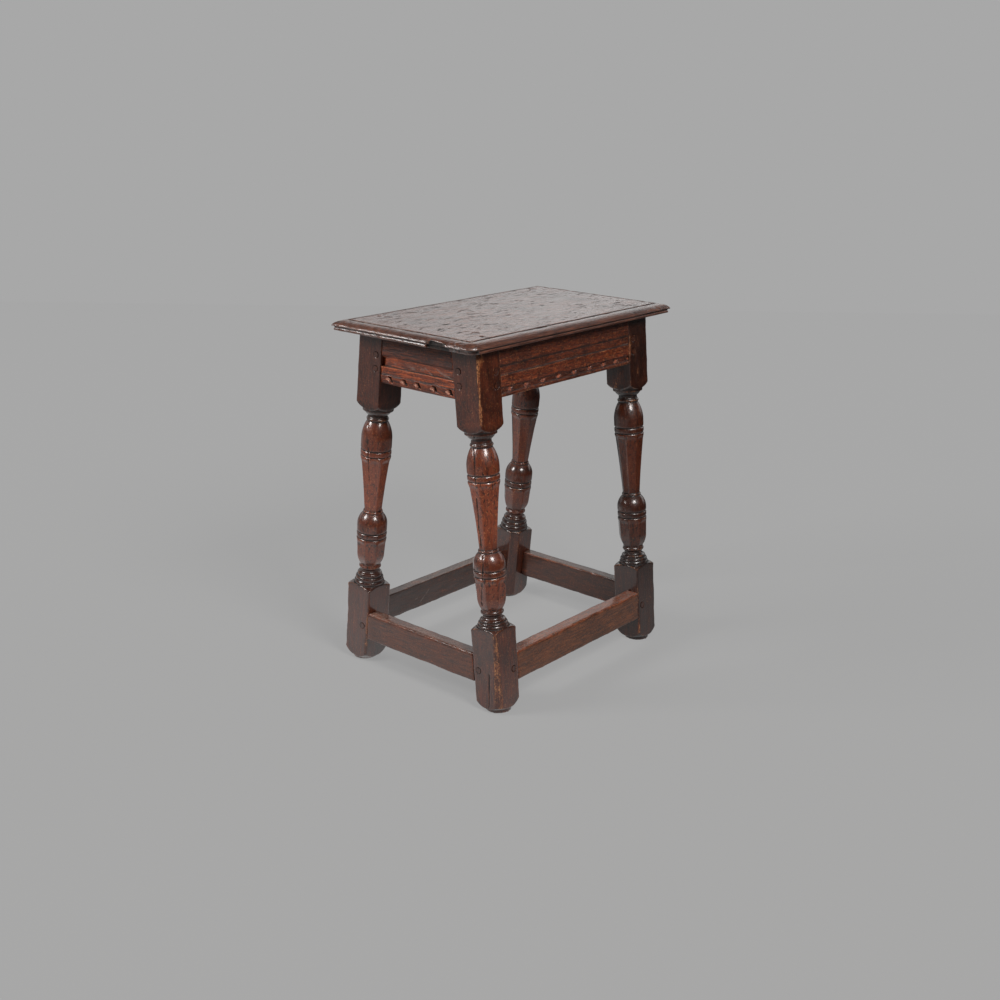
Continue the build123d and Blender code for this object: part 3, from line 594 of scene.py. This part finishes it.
# The broad flat on the near leg's foot, from its arris at the floor, and how much it narrows
FOOT_FLAT = 9.6 * MM
FOOT_FLAT_TAPER = 6.3 * MM
# How light the wood is up a leg, in millimetres from the floor: the foot block, the dark base
# beads and neck, the vase, the rings, the low bulb, the waist, the column, the bulb, the dark
# collar and the top block
LEG_LEVELS = (
    (0, 1.2), (118, 1.1), (128, 0.5), (152, 0.5), (162, 1.8), (204, 1.8), (212, 1.0), (236, 1.4),
    (243, 0.8), (250, 1.7), (262, 2.5), (345, 2.4), (352, 1.6), (392, 1.6), (398, 0.45), (420, 0.5),
    (430, 1.0), (540, 1.0),
)
LEG_TONE = {"front_left": 1.0, "front_right": 0.42, "back_left": 0.95, "back_right": 0.68}
# Long splits down the turning: points on the wood's surface, in millimetres
SPLITS = {
    "front_left": (
        ((-197.3, -107.6, 412.4), (-191.7, -102.2, 393.9), (-197.3, -108.6, 381.9),
         (-199.2, -111.0, 371.2), (-199.7, -111.6, 357.5), (-199.0, -113.1, 344.6)),
        ((-196.0, -112.0, 322.2), (-193.8, -112.8, 300.2), (-191.9, -113.0, 278.2),
         (-190.8, -115.4, 261.9), (-190.0, -116.1, 249.8)),
        ((-193.0, -122.6, 238.6), (-198.3, -127.4, 226.1), (-198.8, -126.7, 204.7),
         (-197.8, -124.6, 180.8), (-196.1, -124.2, 164.7)),
        ((-200.3, -142.6, 62.0), (-200.3, -143.3, 37.7), (-200.3, -143.7, 18.5),
         (-199.3, -142.3, 1.1)),
    ),
    "back_left": (
        ((-194.7, 106.3, 389.7), (-199.4, 102.0, 368.3), (-199.0, 103.2, 336.8),
         (-194.6, 106.6, 303.7)),
    ),
}
SPLIT_WIDTH = 1.3 * MM
SPLIT_DEPTH = 1.5 * MM
# The peg heads in the blocks' outer faces: inwards from the leg's axis, and over the floor
PEG_INWARD = 13.15 * MM
PEG_RIM = 4.7 * MM
LONG_PEG_LEVELS = (500.8, 480.2, 64.2)
SHORT_PEG_LEVELS = (500.8, 480.2, 62.0)


def peg_rims(place):
    """The dirty ring round each peg head in a leg's two outer faces."""
    rim = np.zeros(len(place.x))
    faces = ((place.x, place.y, LONG_PEG_LEVELS), (place.y, place.x, SHORT_PEG_LEVELS))
    for across, outward, levels in faces:
        for level in levels:
            gap = np.hypot(across + PEG_INWARD, place.level - level * MM) - PEG_RIM
            near = step(-np.abs(gap), -1.1 * MM, -0.3 * MM) * (outward > 20 * MM)
            rim = np.maximum(rim, near)
    patchy = noise(np.stack((place.x, place.y, place.level), axis=1), 5 * MM, 95)
    return rim * step(patchy, -0.5, 0.3)


def wear_blocks(leg, place, block, corner, seed):
    """Takes uneven flats off the blocks' arrises, and returns how bare they are."""
    bare = np.zeros(len(leg.points))
    for number, (sides, wear) in enumerate(ARRIS_WEAR[corner].items()):
        top_wear, high_wear, low_wear = wear
        uneven = layered_noise(leg.points, (30 * MM, 30 * MM, 16 * MM), 80 + 7 * seed + number)
        foot_wear = low_wear + (high_wear - low_wear) * step(place.up, 0, FOOT_BLOCK)
        depth = np.where(place.up > 2 * FOOT_BLOCK, top_wear, foot_wear) * MM * (1 + 0.4 * uneven)
        distances, directions = place.arris(*sides)
        flat = plane_arris(leg, distances, directions, depth, block)
        bare = np.maximum(bare, flat * np.clip(depth / (4 * MM), 0, 1))
    return bare


def near_leg_scuffs(place):
    """The bare wood under the near leg's head and on the broad flat of its foot."""
    from_arris = np.hypot(place.x - LEG_SIDE / 2, 0.45 * place.down)
    head = step(-from_arris, -20 * MM, -9 * MM) * (place.y > LEG_SIDE / 2 - 3 * MM)
    over = place.x + place.y - LEG_SIDE + FOOT_FLAT - FOOT_FLAT_TAPER * place.up / FOOT_BLOCK
    foot = step(over, -1.5 * MM, 0.3 * MM) * (place.up < FOOT_BLOCK + 4 * MM)
    return np.maximum(0.8 * head, 0.62 * foot)


def open_splits(leg, corner):
    """Opens the leg's long splits, and returns where they are dirty."""
    grime_and_shade = np.zeros(len(leg.points))
    for line in SPLITS.get(corner, ()):
        wander = 0.5 * MM * noise(leg.points, 9 * MM, 90)
        gap = np.abs(distance_to_line(leg.points, line) + wander)
        cut = step(-gap, -SPLIT_WIDTH, 0)
        leg.push(-SPLIT_DEPTH * cut)
        grime_and_shade = np.maximum(grime_and_shade, step(cut, 0.1, 0.6))
    return grime_and_shade


def make_leg(seed, corner):
    leg = Surface(f"leg_{corner}", LEG_GRID, f"leg_wood_{corner}")
    place = LegFrame(corner, leg.points)
    top = step(place.down, TOP_BLOCK, TOP_BLOCK - BLOCK_BLEND)
    block = np.maximum(top, step(place.up, FOOT_BLOCK, FOOT_BLOCK - BLOCK_BLEND))
    bare = wear_blocks(leg, place, block, corner, seed)
    if corner == "front_left":
        bare = np.maximum(bare, near_leg_scuffs(place))
    wear_arrises(leg, 0.35 * MM, 10 + seed)
    hand_worked(leg, 0.10 * MM, (16 * MM, 16 * MM, 40 * MM), 20 + seed)
    splits = open_splits(leg, corner)
    tone = levels_at(LEG_LEVELS, place.up / MM) * LEG_TONE[corner]
    leg.mark("rubbed", bare)
    leg.mark("bright", 1 - block)
    leg.mark("grime_and_shade", np.maximum(0.65 * peg_rims(place), splits))
    leg.mark("tone", tone - 1)
    heart = (0.09 + 0.01 * seed, 0.05 - 0.02 * seed)
    wood = oak(f"leg oak {corner}", leg_direction(corner), LEG_TINT, seed, heart, GOLD, LEG_LOOK)
    leg.finish(wood)


def make_legs():
    for seed, corner in enumerate(CORNERS, 1):
        make_leg(seed, corner)


# ---- Rails -------------------------------------------------------------------------------------
# Where the nicks lie along a rail, in millimetres from its left shoulder, and half the distance
# between its shoulders
SCOOP_PLACES = (18.5, 54.0, 92.0, 128.0, 166.0, 203.0, 239.0, 270.0, 304.0)
SCOOP_REACH = 8.0
WEDGE_PLACES = (19.5, 48.7, 75.8, 108.0, 137.5)
LONG_SHOULDER = 153.05
SHORT_SHOULDER = 73.4
# The band that holds the nicks and the wedges' middle, in millimetres over the rail's lower edge
NICK_BAND = (3.6, 13.4)
WEDGE_RISE = 8.6
WEDGE_LENGTH = 13.0
WEDGE_DEPTH = 2.6
WEDGE_ROUNDNESS = 1 / 8
STOP_DEPTH = 5.6
STOP_SLANT = 0.31
STOP_SPAN = (-3.2, 3.8)
STOP_HALF_HEIGHT = 4.2
# Points that lie deeper behind a long or a short rail's face belong to its back or its tenons
LONG_FACE_DEPTH = 6.0
SHORT_FACE_DEPTH = 9.0
# The mouldings, in millimetres over the rail's lower edge: the lines between them, how light
# the wood is, which on the short rails is partly painted shadow and light, the worn arris over
# the hollow with its share of bare wood, and the dusty line with its half width and its amount
LONG_RAIL = dict(
    lines=(5.6, 13.6, 31.0, 43.6, 45.4),
    levels=((0, 0.8), (5, 0.8), (6, 0.6), (13, 0.6), (15, 1.1), (29, 1.1),
            (31, 0.78), (43, 0.78), (46, 0.92), (70, 0.88)),
    arris=(29.9, 0.45),
    dust=(31.8, 1.2, 0.3),
)
SHORT_RAIL = dict(
    lines=(14.7, 27.4, 42.4),
    # The top band's low levels are painted shadow from the seat's overhang; the middle bands' high levels
    # are painted light below that shadow
    levels=((0, 1.4), (14, 1.3), (16, 1.8), (26, 2.1), (28, 1.6), (42, 1.6), (44, 0.72), (73, 0.62)),
    arris=(26.0, 0.95),
    dust=(32.0, 4.0, 0.75),
)
# Scratches and rubs: points on the wood's surface, in millimetres
SCRATCHES = {
    "rail_left": (((-196.9, -14.2, 495.2), (-196.9, -27.8, 487.2)),
                  ((-196.9, -36.0, 497.0), (-196.9, -52.0, 490.0), (-196.9, -60.0, 489.5)),
                  ((-196.9, -44.0, 492.0), (-196.9, -66.0, 487.0))),
    "stretcher_back": (((-52.4, 138.9, 51.8), (-30.0, 137.1, 70.7)),
                       ((-74.0, 138.5, 58.0), (-60.0, 138.0, 61.0))),
}
SCRATCH_WIDTH = 1.2 * MM


def scratched(surface):
    """Which points lie on the node's scratches."""
    marks = np.zeros(len(surface.points))
    for line in SCRATCHES.get(surface.node, ()):
        gap = distance_to_line(surface.points, line)
        marks = np.maximum(marks, step(-gap, -SCRATCH_WIDTH, -0.3 * SCRATCH_WIDTH))
    return marks * step(noise(surface.points, 5 * MM, 93), -0.7, 0.0)


def sunk(face, rise):
    """How far each point lies behind the untouched moulding at its own height."""
    layer = (rise * 2).astype(int)
    outermost = np.full(layer.max() + 1, -np.inf)
    np.maximum.at(outermost, layer, face)
    return outermost[layer] - face


def rise_over_edge(rail):
    return (rail.points[:, 2] - rail.low[2]) / MM


def scoop_marks(rail, sign):
    """The bare wood of a long rail's scoops, and the shade under their upper left edges."""
    rise = rise_over_edge(rail)
    band = (rise > NICK_BAND[0]) & (rise < NICK_BAND[1])
    outward = rail.points[:, 1] * sign * math.cos(LEG_LEAN)
    depth = sunk((outward + rail.points[:, 2] * math.sin(LEG_LEAN)) / MM, rise)
    from_left = -sign * rail.points[:, 0] / MM + LONG_SHOULDER
    fresh = np.zeros(len(rise))
    shade = np.zeros(len(rise))
    for place in SCOOP_PLACES:
        inside = (np.abs(from_left - place) < SCOOP_REACH) & band & (depth < LONG_FACE_DEPTH)
        fresh = np.maximum(fresh, inside * step(depth, 0.4, 1.0))
        upper_left = inside * (rise > 9.5) * (from_left < place - 1)
        shade = np.maximum(shade, 0.8 * upper_left * step(depth, 0.5, 1.2))
    return fresh * (1 - shade), shade


def carve_wedges(rail, sign):
    """Carves a short rail's wedges to their full length and sinks the stop that ends each.

    Returns the bare wood of the wedges, and the painted black shade over their stops and the wedges' deep
    ends.
    """
    rise = rise_over_edge(rail)
    outward = np.sign(rail.points[:, 0])
    depth = sunk(np.abs(rail.points[:, 0]) / MM, rise)
    band = (rise > NICK_BAND[0]) & (rise < NICK_BAND[1]) & (depth < SHORT_FACE_DEPTH)
    from_left = sign * rail.points[:, 1] / MM + SHORT_SHOULDER
    from_middle = rise - WEDGE_RISE
    fresh = np.zeros(len(rise))
    stop = np.zeros(len(rise))
    for place in WEDGE_PLACES:
        across = from_left - place
        wedge = band & (across > -WEDGE_LENGTH) & (across < 1.5)
        wanted = WEDGE_DEPTH * (1 + across / WEDGE_LENGTH) - WEDGE_ROUNDNESS * from_middle**2
        carved = np.where(wedge, np.clip(wanted - depth, 0, None), 0)
        rail.points[:, 0] -= outward * carved * MM
        depth = depth + carved
        fresh = np.maximum(fresh, wedge * step(depth, 0.35, 0.9))
        slanted = across + STOP_SLANT * from_middle
        slot = band & (slanted > STOP_SPAN[0]) & (slanted < STOP_SPAN[1])
        slot = slot & (np.abs(from_middle) < STOP_HALF_HEIGHT)
        sunken = np.where(slot, np.clip(STOP_DEPTH - depth, 0, None), 0)
        rail.points[:, 0] -= outward * sunken * MM
        # The slot and the wedge's deep end get painted black shade
        stop = np.maximum(stop, slot)
    return fresh * (1 - stop), stop


def rail_marks(rail, mouldings, across):
    """Dark lines along the mouldings, partly soiling and partly painted shade under the bands' edges, dust
    along them and worn wood on the arris over the hollow.

    across is the axis that the rail's face looks along.
    """
    face = np.abs(rail.points[:, across])
    outer = face > face.max() - 9 * MM
    rise = rise_over_edge(rail) + 0.35 * noise(rail.points, 7 * MM, 97)
    dirt_and_shade = np.zeros(len(rise))
    for line in mouldings["lines"]:
        dirt_and_shade = np.maximum(dirt_and_shade, step(-np.abs(rise - line), -1.0, -0.3))
    patchy = noise(rail.points, (14 * MM, 14 * MM, 4 * MM), 98)
    dirt_and_shade = dirt_and_shade * outer * step(patchy, -0.9, 0.0)
    arris, bareness = mouldings["arris"]
    worn = bareness * step(-np.abs(rise - arris), -1.5, -0.5) * outer
    dusty, spread, amount = mouldings["dust"]
    dust = amount * step(-np.abs(rise - dusty), -spread, -0.2) * outer
    dust = dust * step(noise(rail.points, 9 * MM, 99), 0.0, 0.6)
    return dirt_and_shade, worn, dust, levels_at(mouldings["levels"], rise)


def make_rail(seed, side, grain, heart):
    rail = Surface(f"rail_{side}", RAIL_GRID, f"rail_wood_{side}")
    sign = -1 if side in ("front", "left") else 1
    if side in LONG_SIDES:
        fresh, stop = scoop_marks(rail, sign)
        dirt_and_shade, worn, dust, tone = rail_marks(rail, LONG_RAIL, 1)
        wear_colour, look = GOLD, LONG_RAIL_LOOK
    else:
        fresh, stop = carve_wedges(rail, sign)
        dirt_and_shade, worn, dust, tone = rail_marks(rail, SHORT_RAIL, 0)
        wear_colour, look = ORANGE, SHORT_RAIL_LOOK
    wear_arrises(rail, 0.3 * MM, 30 + seed)
    hand_worked(rail, 0.12 * MM, 18 * MM, 40 + seed)
    hand_worked(rail, 0.16 * MM, np.where(grain, 45 * MM, 3.6 * MM), 44 + seed)
    rail.mark("fresh", fresh)
    # Black marks: painted shade in the scoops and over the wedges' stops, and the moulding lines, partly
    # soiling and partly painted shade
    rail.mark("grime_and_shade", np.maximum(stop, 0.9 * dirt_and_shade * (1 - fresh)))
    rail.mark("rubbed", worn * (1 - dirt_and_shade))
    rail.mark("pale", np.maximum(dust * (1 - fresh), scratched(rail)))
    rail.mark("tone", tone - 1)
    wood = oak(f"rail oak {side}", grain, RAIL_TINT, seed, heart, wear_colour, look)
    rail.finish(wood)


# ---- Stretchers --------------------------------------------------------------------------------
# How far the top arrises are rubbed bare, and how light the wood is
STRETCHER_RUB = {"front": 0.75, "back": 0.3, "left": 0.35, "right": 0.2}
STRETCHER_TONE = {"front": 1.7, "back": 0.8, "left": 1.65, "right": 1.0}


def make_stretcher(seed, side, grain, heart):
    bar = Surface(f"stretcher_{side}", STRETCHER_GRID, f"stretcher_wood_{side}")
    top = step(bar.points[:, 2], bar.high[2] - 5 * MM, bar.high[2] - 1 * MM)
    wear_arrises(bar, 0.8 * MM, 50 + seed)
    hand_worked(bar, 0.2 * MM, 22 * MM, 60 + seed)
    hand_worked(bar, 0.10 * MM, np.where(grain, 50 * MM, 4.5 * MM), 64 + seed)
    bar.mark("rubbed", STRETCHER_RUB[side] * top)
    bar.mark("pale", scratched(bar))
    bar.mark("tone", np.full(len(top), STRETCHER_TONE[side] - 1))
    tint = FRONT_STRETCHER_TINT if side == "front" else STRETCHER_TINT
    wood = oak(f"stretcher oak {side}", grain, tint, seed + 4, heart, RUSSET, STRETCHER_LOOK)
    bar.finish(wood)


def make_bars():
    for seed, side in enumerate(SIDES, 5):
        grain = (1, 0, 0) if side in LONG_SIDES else (0, 1, 0)
        heart = (0.05, 0.04 + 0.02 * seed)
        make_rail(seed, side, grain, heart)
        make_stretcher(seed, side, grain, heart)


# ---- Seat board --------------------------------------------------------------------------------
# Dents, old nail holes and stains in the seat's top: X, Y and radius in millimetres
SEAT_DENTS = (
    (-177.8, -103.3, 4.8), (-167.8, 106.7, 4.0), (186.4, 112.6, 4.0), (148.8, 94.8, 2.0),
    (170.9, -104.4, 2.2), (201.6, 50.6, 1.6), (201.2, -29.3, 1.6), (-46.5, 112.4, 1.6),
    (-55.8, 95.2, 1.6), (-18.0, 103.0, 1.6), (69.8, 108.0, 1.6),
)
DENT_DEPTH = 1.2 * MM
# The groove behind the nose, from the seat's edge
QUIRK = 18.3 * MM
QUIRK_DEPTH = 0.9 * MM
# The chip in the left edge, and the broken edge in front of it
CHIP_X = -226 * MM
CHIP_FRONT = -89 * MM
CHIP_BACK = -50 * MM
BREAK_FRONT = 12 * MM
BREAK_WIDTH = 12 * MM


def dent_seat(seat, top):
    """Presses in the dents and nail holes, and returns where they are darkened, partly soiled and partly
    painted shade in the holes.
    """
    dirt_and_shade = np.zeros(len(seat.points))
    for x, y, radius in SEAT_DENTS:
        gap = np.hypot(seat.points[:, 0] - x * MM, 0.8 * (seat.points[:, 1] - y * MM))
        dent = step(-gap, -radius * MM, -0.3 * radius * MM) * top
        seat.push(-DENT_DEPTH * dent)
        dirt_and_shade = np.maximum(dirt_and_shade, 0.9 * dent)
    return dirt_and_shade


def stroke_seat(seat, top):
    """Presses in shallow wavy strokes and small dark nicks, and returns where they are dirty."""
    wavy = seat.points.copy()
    wavy[:, 1] += 6 * MM * noise(seat.points, 24 * MM, 78)
    strokes = step(layered_noise(wavy, (15 * MM, 8 * MM, 12 * MM), 77, 2), 0.26, 0.52) * top
    strokes = strokes * step(noise(seat.points, 50 * MM, 79), -0.7, 0.0)
    nicks = step(layered_noise(wavy, (15 * MM, 3.4 * MM, 12 * MM), 75, 2), 0.54, 0.84) * top
    seat.push(-0.45 * MM * np.maximum(0.7 * strokes, nicks))
    return np.maximum(0.16 * strokes, 0.95 * nicks)


def sink_quirk(seat, edge):
    """Deepens the groove behind the nose, and returns it and the pale flecks along its left."""
    near_top = seat.points[:, 2] > seat.high[2] - 3 * MM
    quirk = step(-np.abs(edge - QUIRK), -2.2 * MM, -0.8 * MM) * near_top
    seat.push(-QUIRK_DEPTH * quirk)
    flecks = step(-np.abs(edge - QUIRK - 1.2 * MM), -1.4 * MM, -0.3 * MM) * near_top
    return quirk, flecks * at_left(seat) * step(noise(seat.points, 3.5 * MM, 76), 0.1, 0.5)


def at_left(seat):
    return seat.points[:, 0] < seat.low[0] + 25 * MM


def roughen_left_edge(seat, edge):
    """The ragged break in front of the chip, and the knocked nose."""
    front = (seat.points[:, 0] < CHIP_X) & (seat.points[:, 1] < CHIP_FRONT)
    broken = front * (seat.points[:, 1] > seat.low[1] + BREAK_FRONT) * (edge < BREAK_WIDTH)
    nose = at_left(seat) * step(edge, QUIRK - 1 * MM, QUIRK - 4 * MM)
    seat.push(0.7 * MM * broken * layered_noise(seat.points, 4.5 * MM, 92))
    seat.push(0.12 * MM * nose * layered_noise(seat.points, 4 * MM, 96))


def points_in_chip(seat):
    x, y, z = seat.points.T
    return (x < CHIP_X) & (y > CHIP_FRONT) & (y < CHIP_BACK) & (z < seat.high[2] - 4.5 * MM)


def make_seat():
    seat = Surface("seat_board", SEAT_GRID, "seat_wood")
    top = seat.points[:, 2] > seat.high[2] - 0.9 * MM
    dents = dent_seat(seat, top)
    wear_arrises(seat, 0.3 * MM, 70)
    hand_worked(seat, 0.22 * MM, (70 * MM, 22 * MM, 30 * MM), 71)
    hand_worked(seat, 0.15 * MM, (20 * MM, 12 * MM, 12 * MM), 74)
    strokes = stroke_seat(seat, top)
    from_ends = seat.high[0] - np.abs(seat.points[:, 0])
    from_sides = seat.high[1] - np.abs(seat.points[:, 1])
    edge = np.minimum(from_ends, from_sides)
    quirk, flecks = sink_quirk(seat, edge)
    roughen_left_edge(seat, edge)
    in_chip = points_in_chip(seat)
    dirt_and_shade = np.maximum(dents, strokes)
    seat.mark("grime_and_shade", np.maximum(dirt_and_shade, 0.9 * quirk * (1 - flecks)))
    seat.mark("pale", 0.9 * flecks)
    seat.mark("tone", -0.3 * step(edge, QUIRK, QUIRK - 4 * MM))
    heart = (0.03, 0.12)
    wood = oak("seat oak", (1, 0, 0), SEAT_TINT, 14, heart, PALE, SEAT_LOOK)
    chip_shade_wood = oak("broken seat oak in painted shade", (1, 0, 0), CHIP_SHADE_TINT, 14, heart, PALE, CHIP_SHADE_LOOK)
    seat.finish(wood)
    seat.mesh.materials.append(chip_shade_wood)
    # The faces inside the chip take the near-black painted shade
    for face in seat.mesh.polygons:
        face.material_index = int(in_chip[list(face.vertices)].all())


# ---- Pegs --------------------------------------------------------------------------------------
def make_pegs():
    wood = oak("peg oak", (0, 0, 1), PEG_TINT, 15, (0.1, 0.1), RUSSET, PEG_LOOK)
    for name, piece in nodes.items():
        if "pegs" in name:
            piece.data.materials.clear()
            piece.data.materials.append(wood)


# ---- Studio ------------------------------------------------------------------------------------
GREY = colour(168, 168, 168)[0]
WORLD_WHITE = 0.93
SKY = 0.2
SKY_MIRRORED = 0.04
SKY_ON_FLOOR = 0.9
# Name, azimuth and elevation in degrees, distance, size, watts and colour of each square lamp
LAMPS = (
    ("left softbox", -121.6, 34.0, 1.7, 0.50, 15.5, (1.0, 0.99, 0.98)),
    ("right softbox", -19.2, 42.0, 1.9, 0.60, 23.5, (1.0, 0.98, 0.96)),
)
FLOOR_REFLECTANCE = 0.11
BACKDROP_REFLECTANCE = 0.17
STAGE_BOUNCE = 0.3
STAGE_REACH = 9.0
BACKDROP_DISTANCE = 3.2
BACKDROP_HEIGHT = 4.0


def direction_toward(azimuth, elevation):
    """Azimuth is counted from the front, positive to the right, in degrees."""
    turn, lift = math.radians(azimuth), math.radians(elevation)
    level = Vector((math.sin(turn), -math.cos(turn), 0)) * math.cos(lift)
    return level + Vector((0, 0, math.sin(lift)))


def floor_light(make, place):
    """How brightly a white floor would show at place in the light of the lamps and the sky."""
    total = SKY_ON_FLOOR * SKY
    for _, azimuth, elevation, distance, _, power, _ in LAMPS:
        direction = direction_toward(azimuth, elevation)
        lamp = CAMERA_TARGET + direction * distance
        gap = make.node("VectorMath", {0: lamp, 1: place}, operation="SUBTRACT").outputs[0]
        square = make.dot(gap, gap)
        facing = make.times(make.dot(gap, (0.0, 0.0, 1.0)), make.dot(gap, direction))
        share = make.math("DIVIDE", facing, make.times(square, square))
        total = make.add(total, make.times(share, power / math.pi**2))
    return total


def stage_material(name, reflectance, mirrored, lit):
    """A matt sheet whose own glow tops its lit colour up to the same even grey everywhere.

    mirrored gives the strength that polished wood shows of it, from the sheet's position.
    """
    make = Shader(name)
    place = make.node("NewGeometry").outputs["Position"]
    matt = make.node("BsdfDiffuse", {"Color": (reflectance, reflectance, reflectance, 1)})
    lack = GREY
    if lit:
        lack = make.add(GREY, make.times(floor_light(make, place), -reflectance))
    glow = make.node("Emission", {"Color": (1, 1, 1, 1), "Strength": lack})
    seen = glow
    if lit:
        seen = make.node("AddShader", {0: matt.outputs[0], 1: glow.outputs[0]})
    rays = make.node("LightPath").outputs
    plain = make.node("BsdfDiffuse", {"Color": (STAGE_BOUNCE, STAGE_BOUNCE, STAGE_BOUNCE, 1)})
    shine = make.node("Emission", {"Color": (1, 1, 1, 1), "Strength": mirrored(make, place)})
    away = {0: rays["Is Glossy Ray"], 1: plain.outputs[0], 2: shine.outputs[0]}
    choice = {0: rays["Is Camera Ray"], 1: make.node("MixShader", away).outputs[0], 2: seen.outputs[0]}
    make.node("OutputMaterial", {"Surface": make.node("MixShader", choice).outputs[0]})
    return make.material


def floor_shine(make, place):
    """The paper sweep is pale round the stool and runs out to the front and the right."""
    near = make.between(make.length(place), 0.4, 1.2, 0.5, 0.02)
    toward_back = make.dot(place, (-0.76, 0.65, 0.0))
    near = make.times(near, make.between(toward_back, -0.35, 0.4, 0.55, 1.5))
    return make.most(near, make.between(toward_back, 0.0, 1.0, 0.0, 0.3))


def backdrop_shine(make, place):
    """The backdrop is brightest in a band above the seat's height, and towards its right."""
    height = make.dot(place, (0.0, 0.0, 1.0))
    low = make.between(height, 0.7, 1.05, 0.2, 1.0)
    band = make.times(low, make.between(height, 2.3, 2.75, 1.0, 0.1))
    right = make.between(make.dot(place, (0.65, -0.76, 0.0)), -0.7, 0.3, 0.72, 1.0)
    return make.times(band, right)


def sheet(name, corners, material):
    mesh = bpy.data.meshes.new(name)
    mesh.from_pydata(corners, [], [tuple(range(len(corners)))])
    mesh.materials.append(material)
    made = bpy.data.objects.new(name, mesh)
    scene.collection.objects.link(made)


def make_stage():
    reach = STAGE_REACH
    floor = [(-reach, -reach, 0), (reach, -reach, 0), (reach, reach, 0), (-reach, reach, 0)]
    grey = stage_material("floor grey", FLOOR_REFLECTANCE, floor_shine, lit=True)
    sheet("floor", floor, grey)
    foot = -direction_toward(CAMERA_AZIMUTH, 0) * BACKDROP_DISTANCE
    aside = direction_toward(CAMERA_AZIMUTH + 90, 0) * reach
    rise = Vector((0, 0, BACKDROP_HEIGHT))
    wall = [foot - aside, foot + aside, foot + aside + rise, foot - aside + rise]
    grey = stage_material("backdrop grey", BACKDROP_REFLECTANCE, backdrop_shine, lit=False)
    sheet("backdrop", wall, grey)


def softbox(name, azimuth, elevation, distance, size, power, tone):
    """A square light that faces the stool."""
    lamp = bpy.data.lights.new(name, "AREA")
    lamp.shape = "SQUARE"
    lamp.size = size
    lamp.energy = power
    lamp.color = tone
    made = bpy.data.objects.new(name, lamp)
    direction = direction_toward(azimuth, elevation)
    made.location = CAMERA_TARGET + direction * distance
    made.rotation_euler = direction.to_track_quat("Z", "Y").to_euler()
    scene.collection.objects.link(made)


def make_world():
    """An even sky, which polished wood hardly shows and the camera sees in the backdrop's grey."""
    world = bpy.data.worlds.new("studio")
    world.use_nodes = True
    tree = world.node_tree
    background = tree.nodes["Background"]
    background.inputs["Color"].default_value = (WORLD_WHITE, WORLD_WHITE, WORLD_WHITE, 1)
    rays = tree.nodes.new("ShaderNodeLightPath")
    unseen = tree.nodes.new("ShaderNodeMapRange")
    unseen.inputs["To Min"].default_value = SKY
    unseen.inputs["To Max"].default_value = SKY_MIRRORED
    strength = tree.nodes.new("ShaderNodeMapRange")
    strength.inputs["To Max"].default_value = GREY / WORLD_WHITE
    tree.links.new(rays.outputs["Is Glossy Ray"], unseen.inputs["Value"])
    tree.links.new(rays.outputs["Is Camera Ray"], strength.inputs["Value"])
    tree.links.new(unseen.outputs[0], strength.inputs["To Min"])
    tree.links.new(strength.outputs[0], background.inputs["Strength"])
    scene.world = world


def make_light():
    for lamp in LAMPS:
        softbox(*lamp)
    make_world()


def make_camera():
    lens = bpy.data.cameras.new("camera")
    lens.sensor_width = CAMERA_SENSOR
    lens.lens = CAMERA_LENS
    camera = bpy.data.objects.new("camera", lens)
    back = direction_toward(CAMERA_AZIMUTH, CAMERA_ELEVATION)
    level = (-back).cross(Vector((0, 0, 1))).normalized()
    upright = level.cross(-back)
    roll = math.radians(CAMERA_ROLL)
    right = math.cos(roll) * level + math.sin(roll) * upright
    up = math.cos(roll) * upright - math.sin(roll) * level
    place = CAMERA_TARGET + back * CAMERA_DISTANCE
    turned = Matrix((right, up, back)).transposed().to_4x4()
    camera.matrix_world = Matrix.Translation(place) @ turned
    scene.collection.objects.link(camera)
    scene.camera = camera


make_legs()
make_bars()
make_seat()
make_pegs()
make_stage()
make_light()
make_camera()
scene.view_settings.view_transform = "Standard"
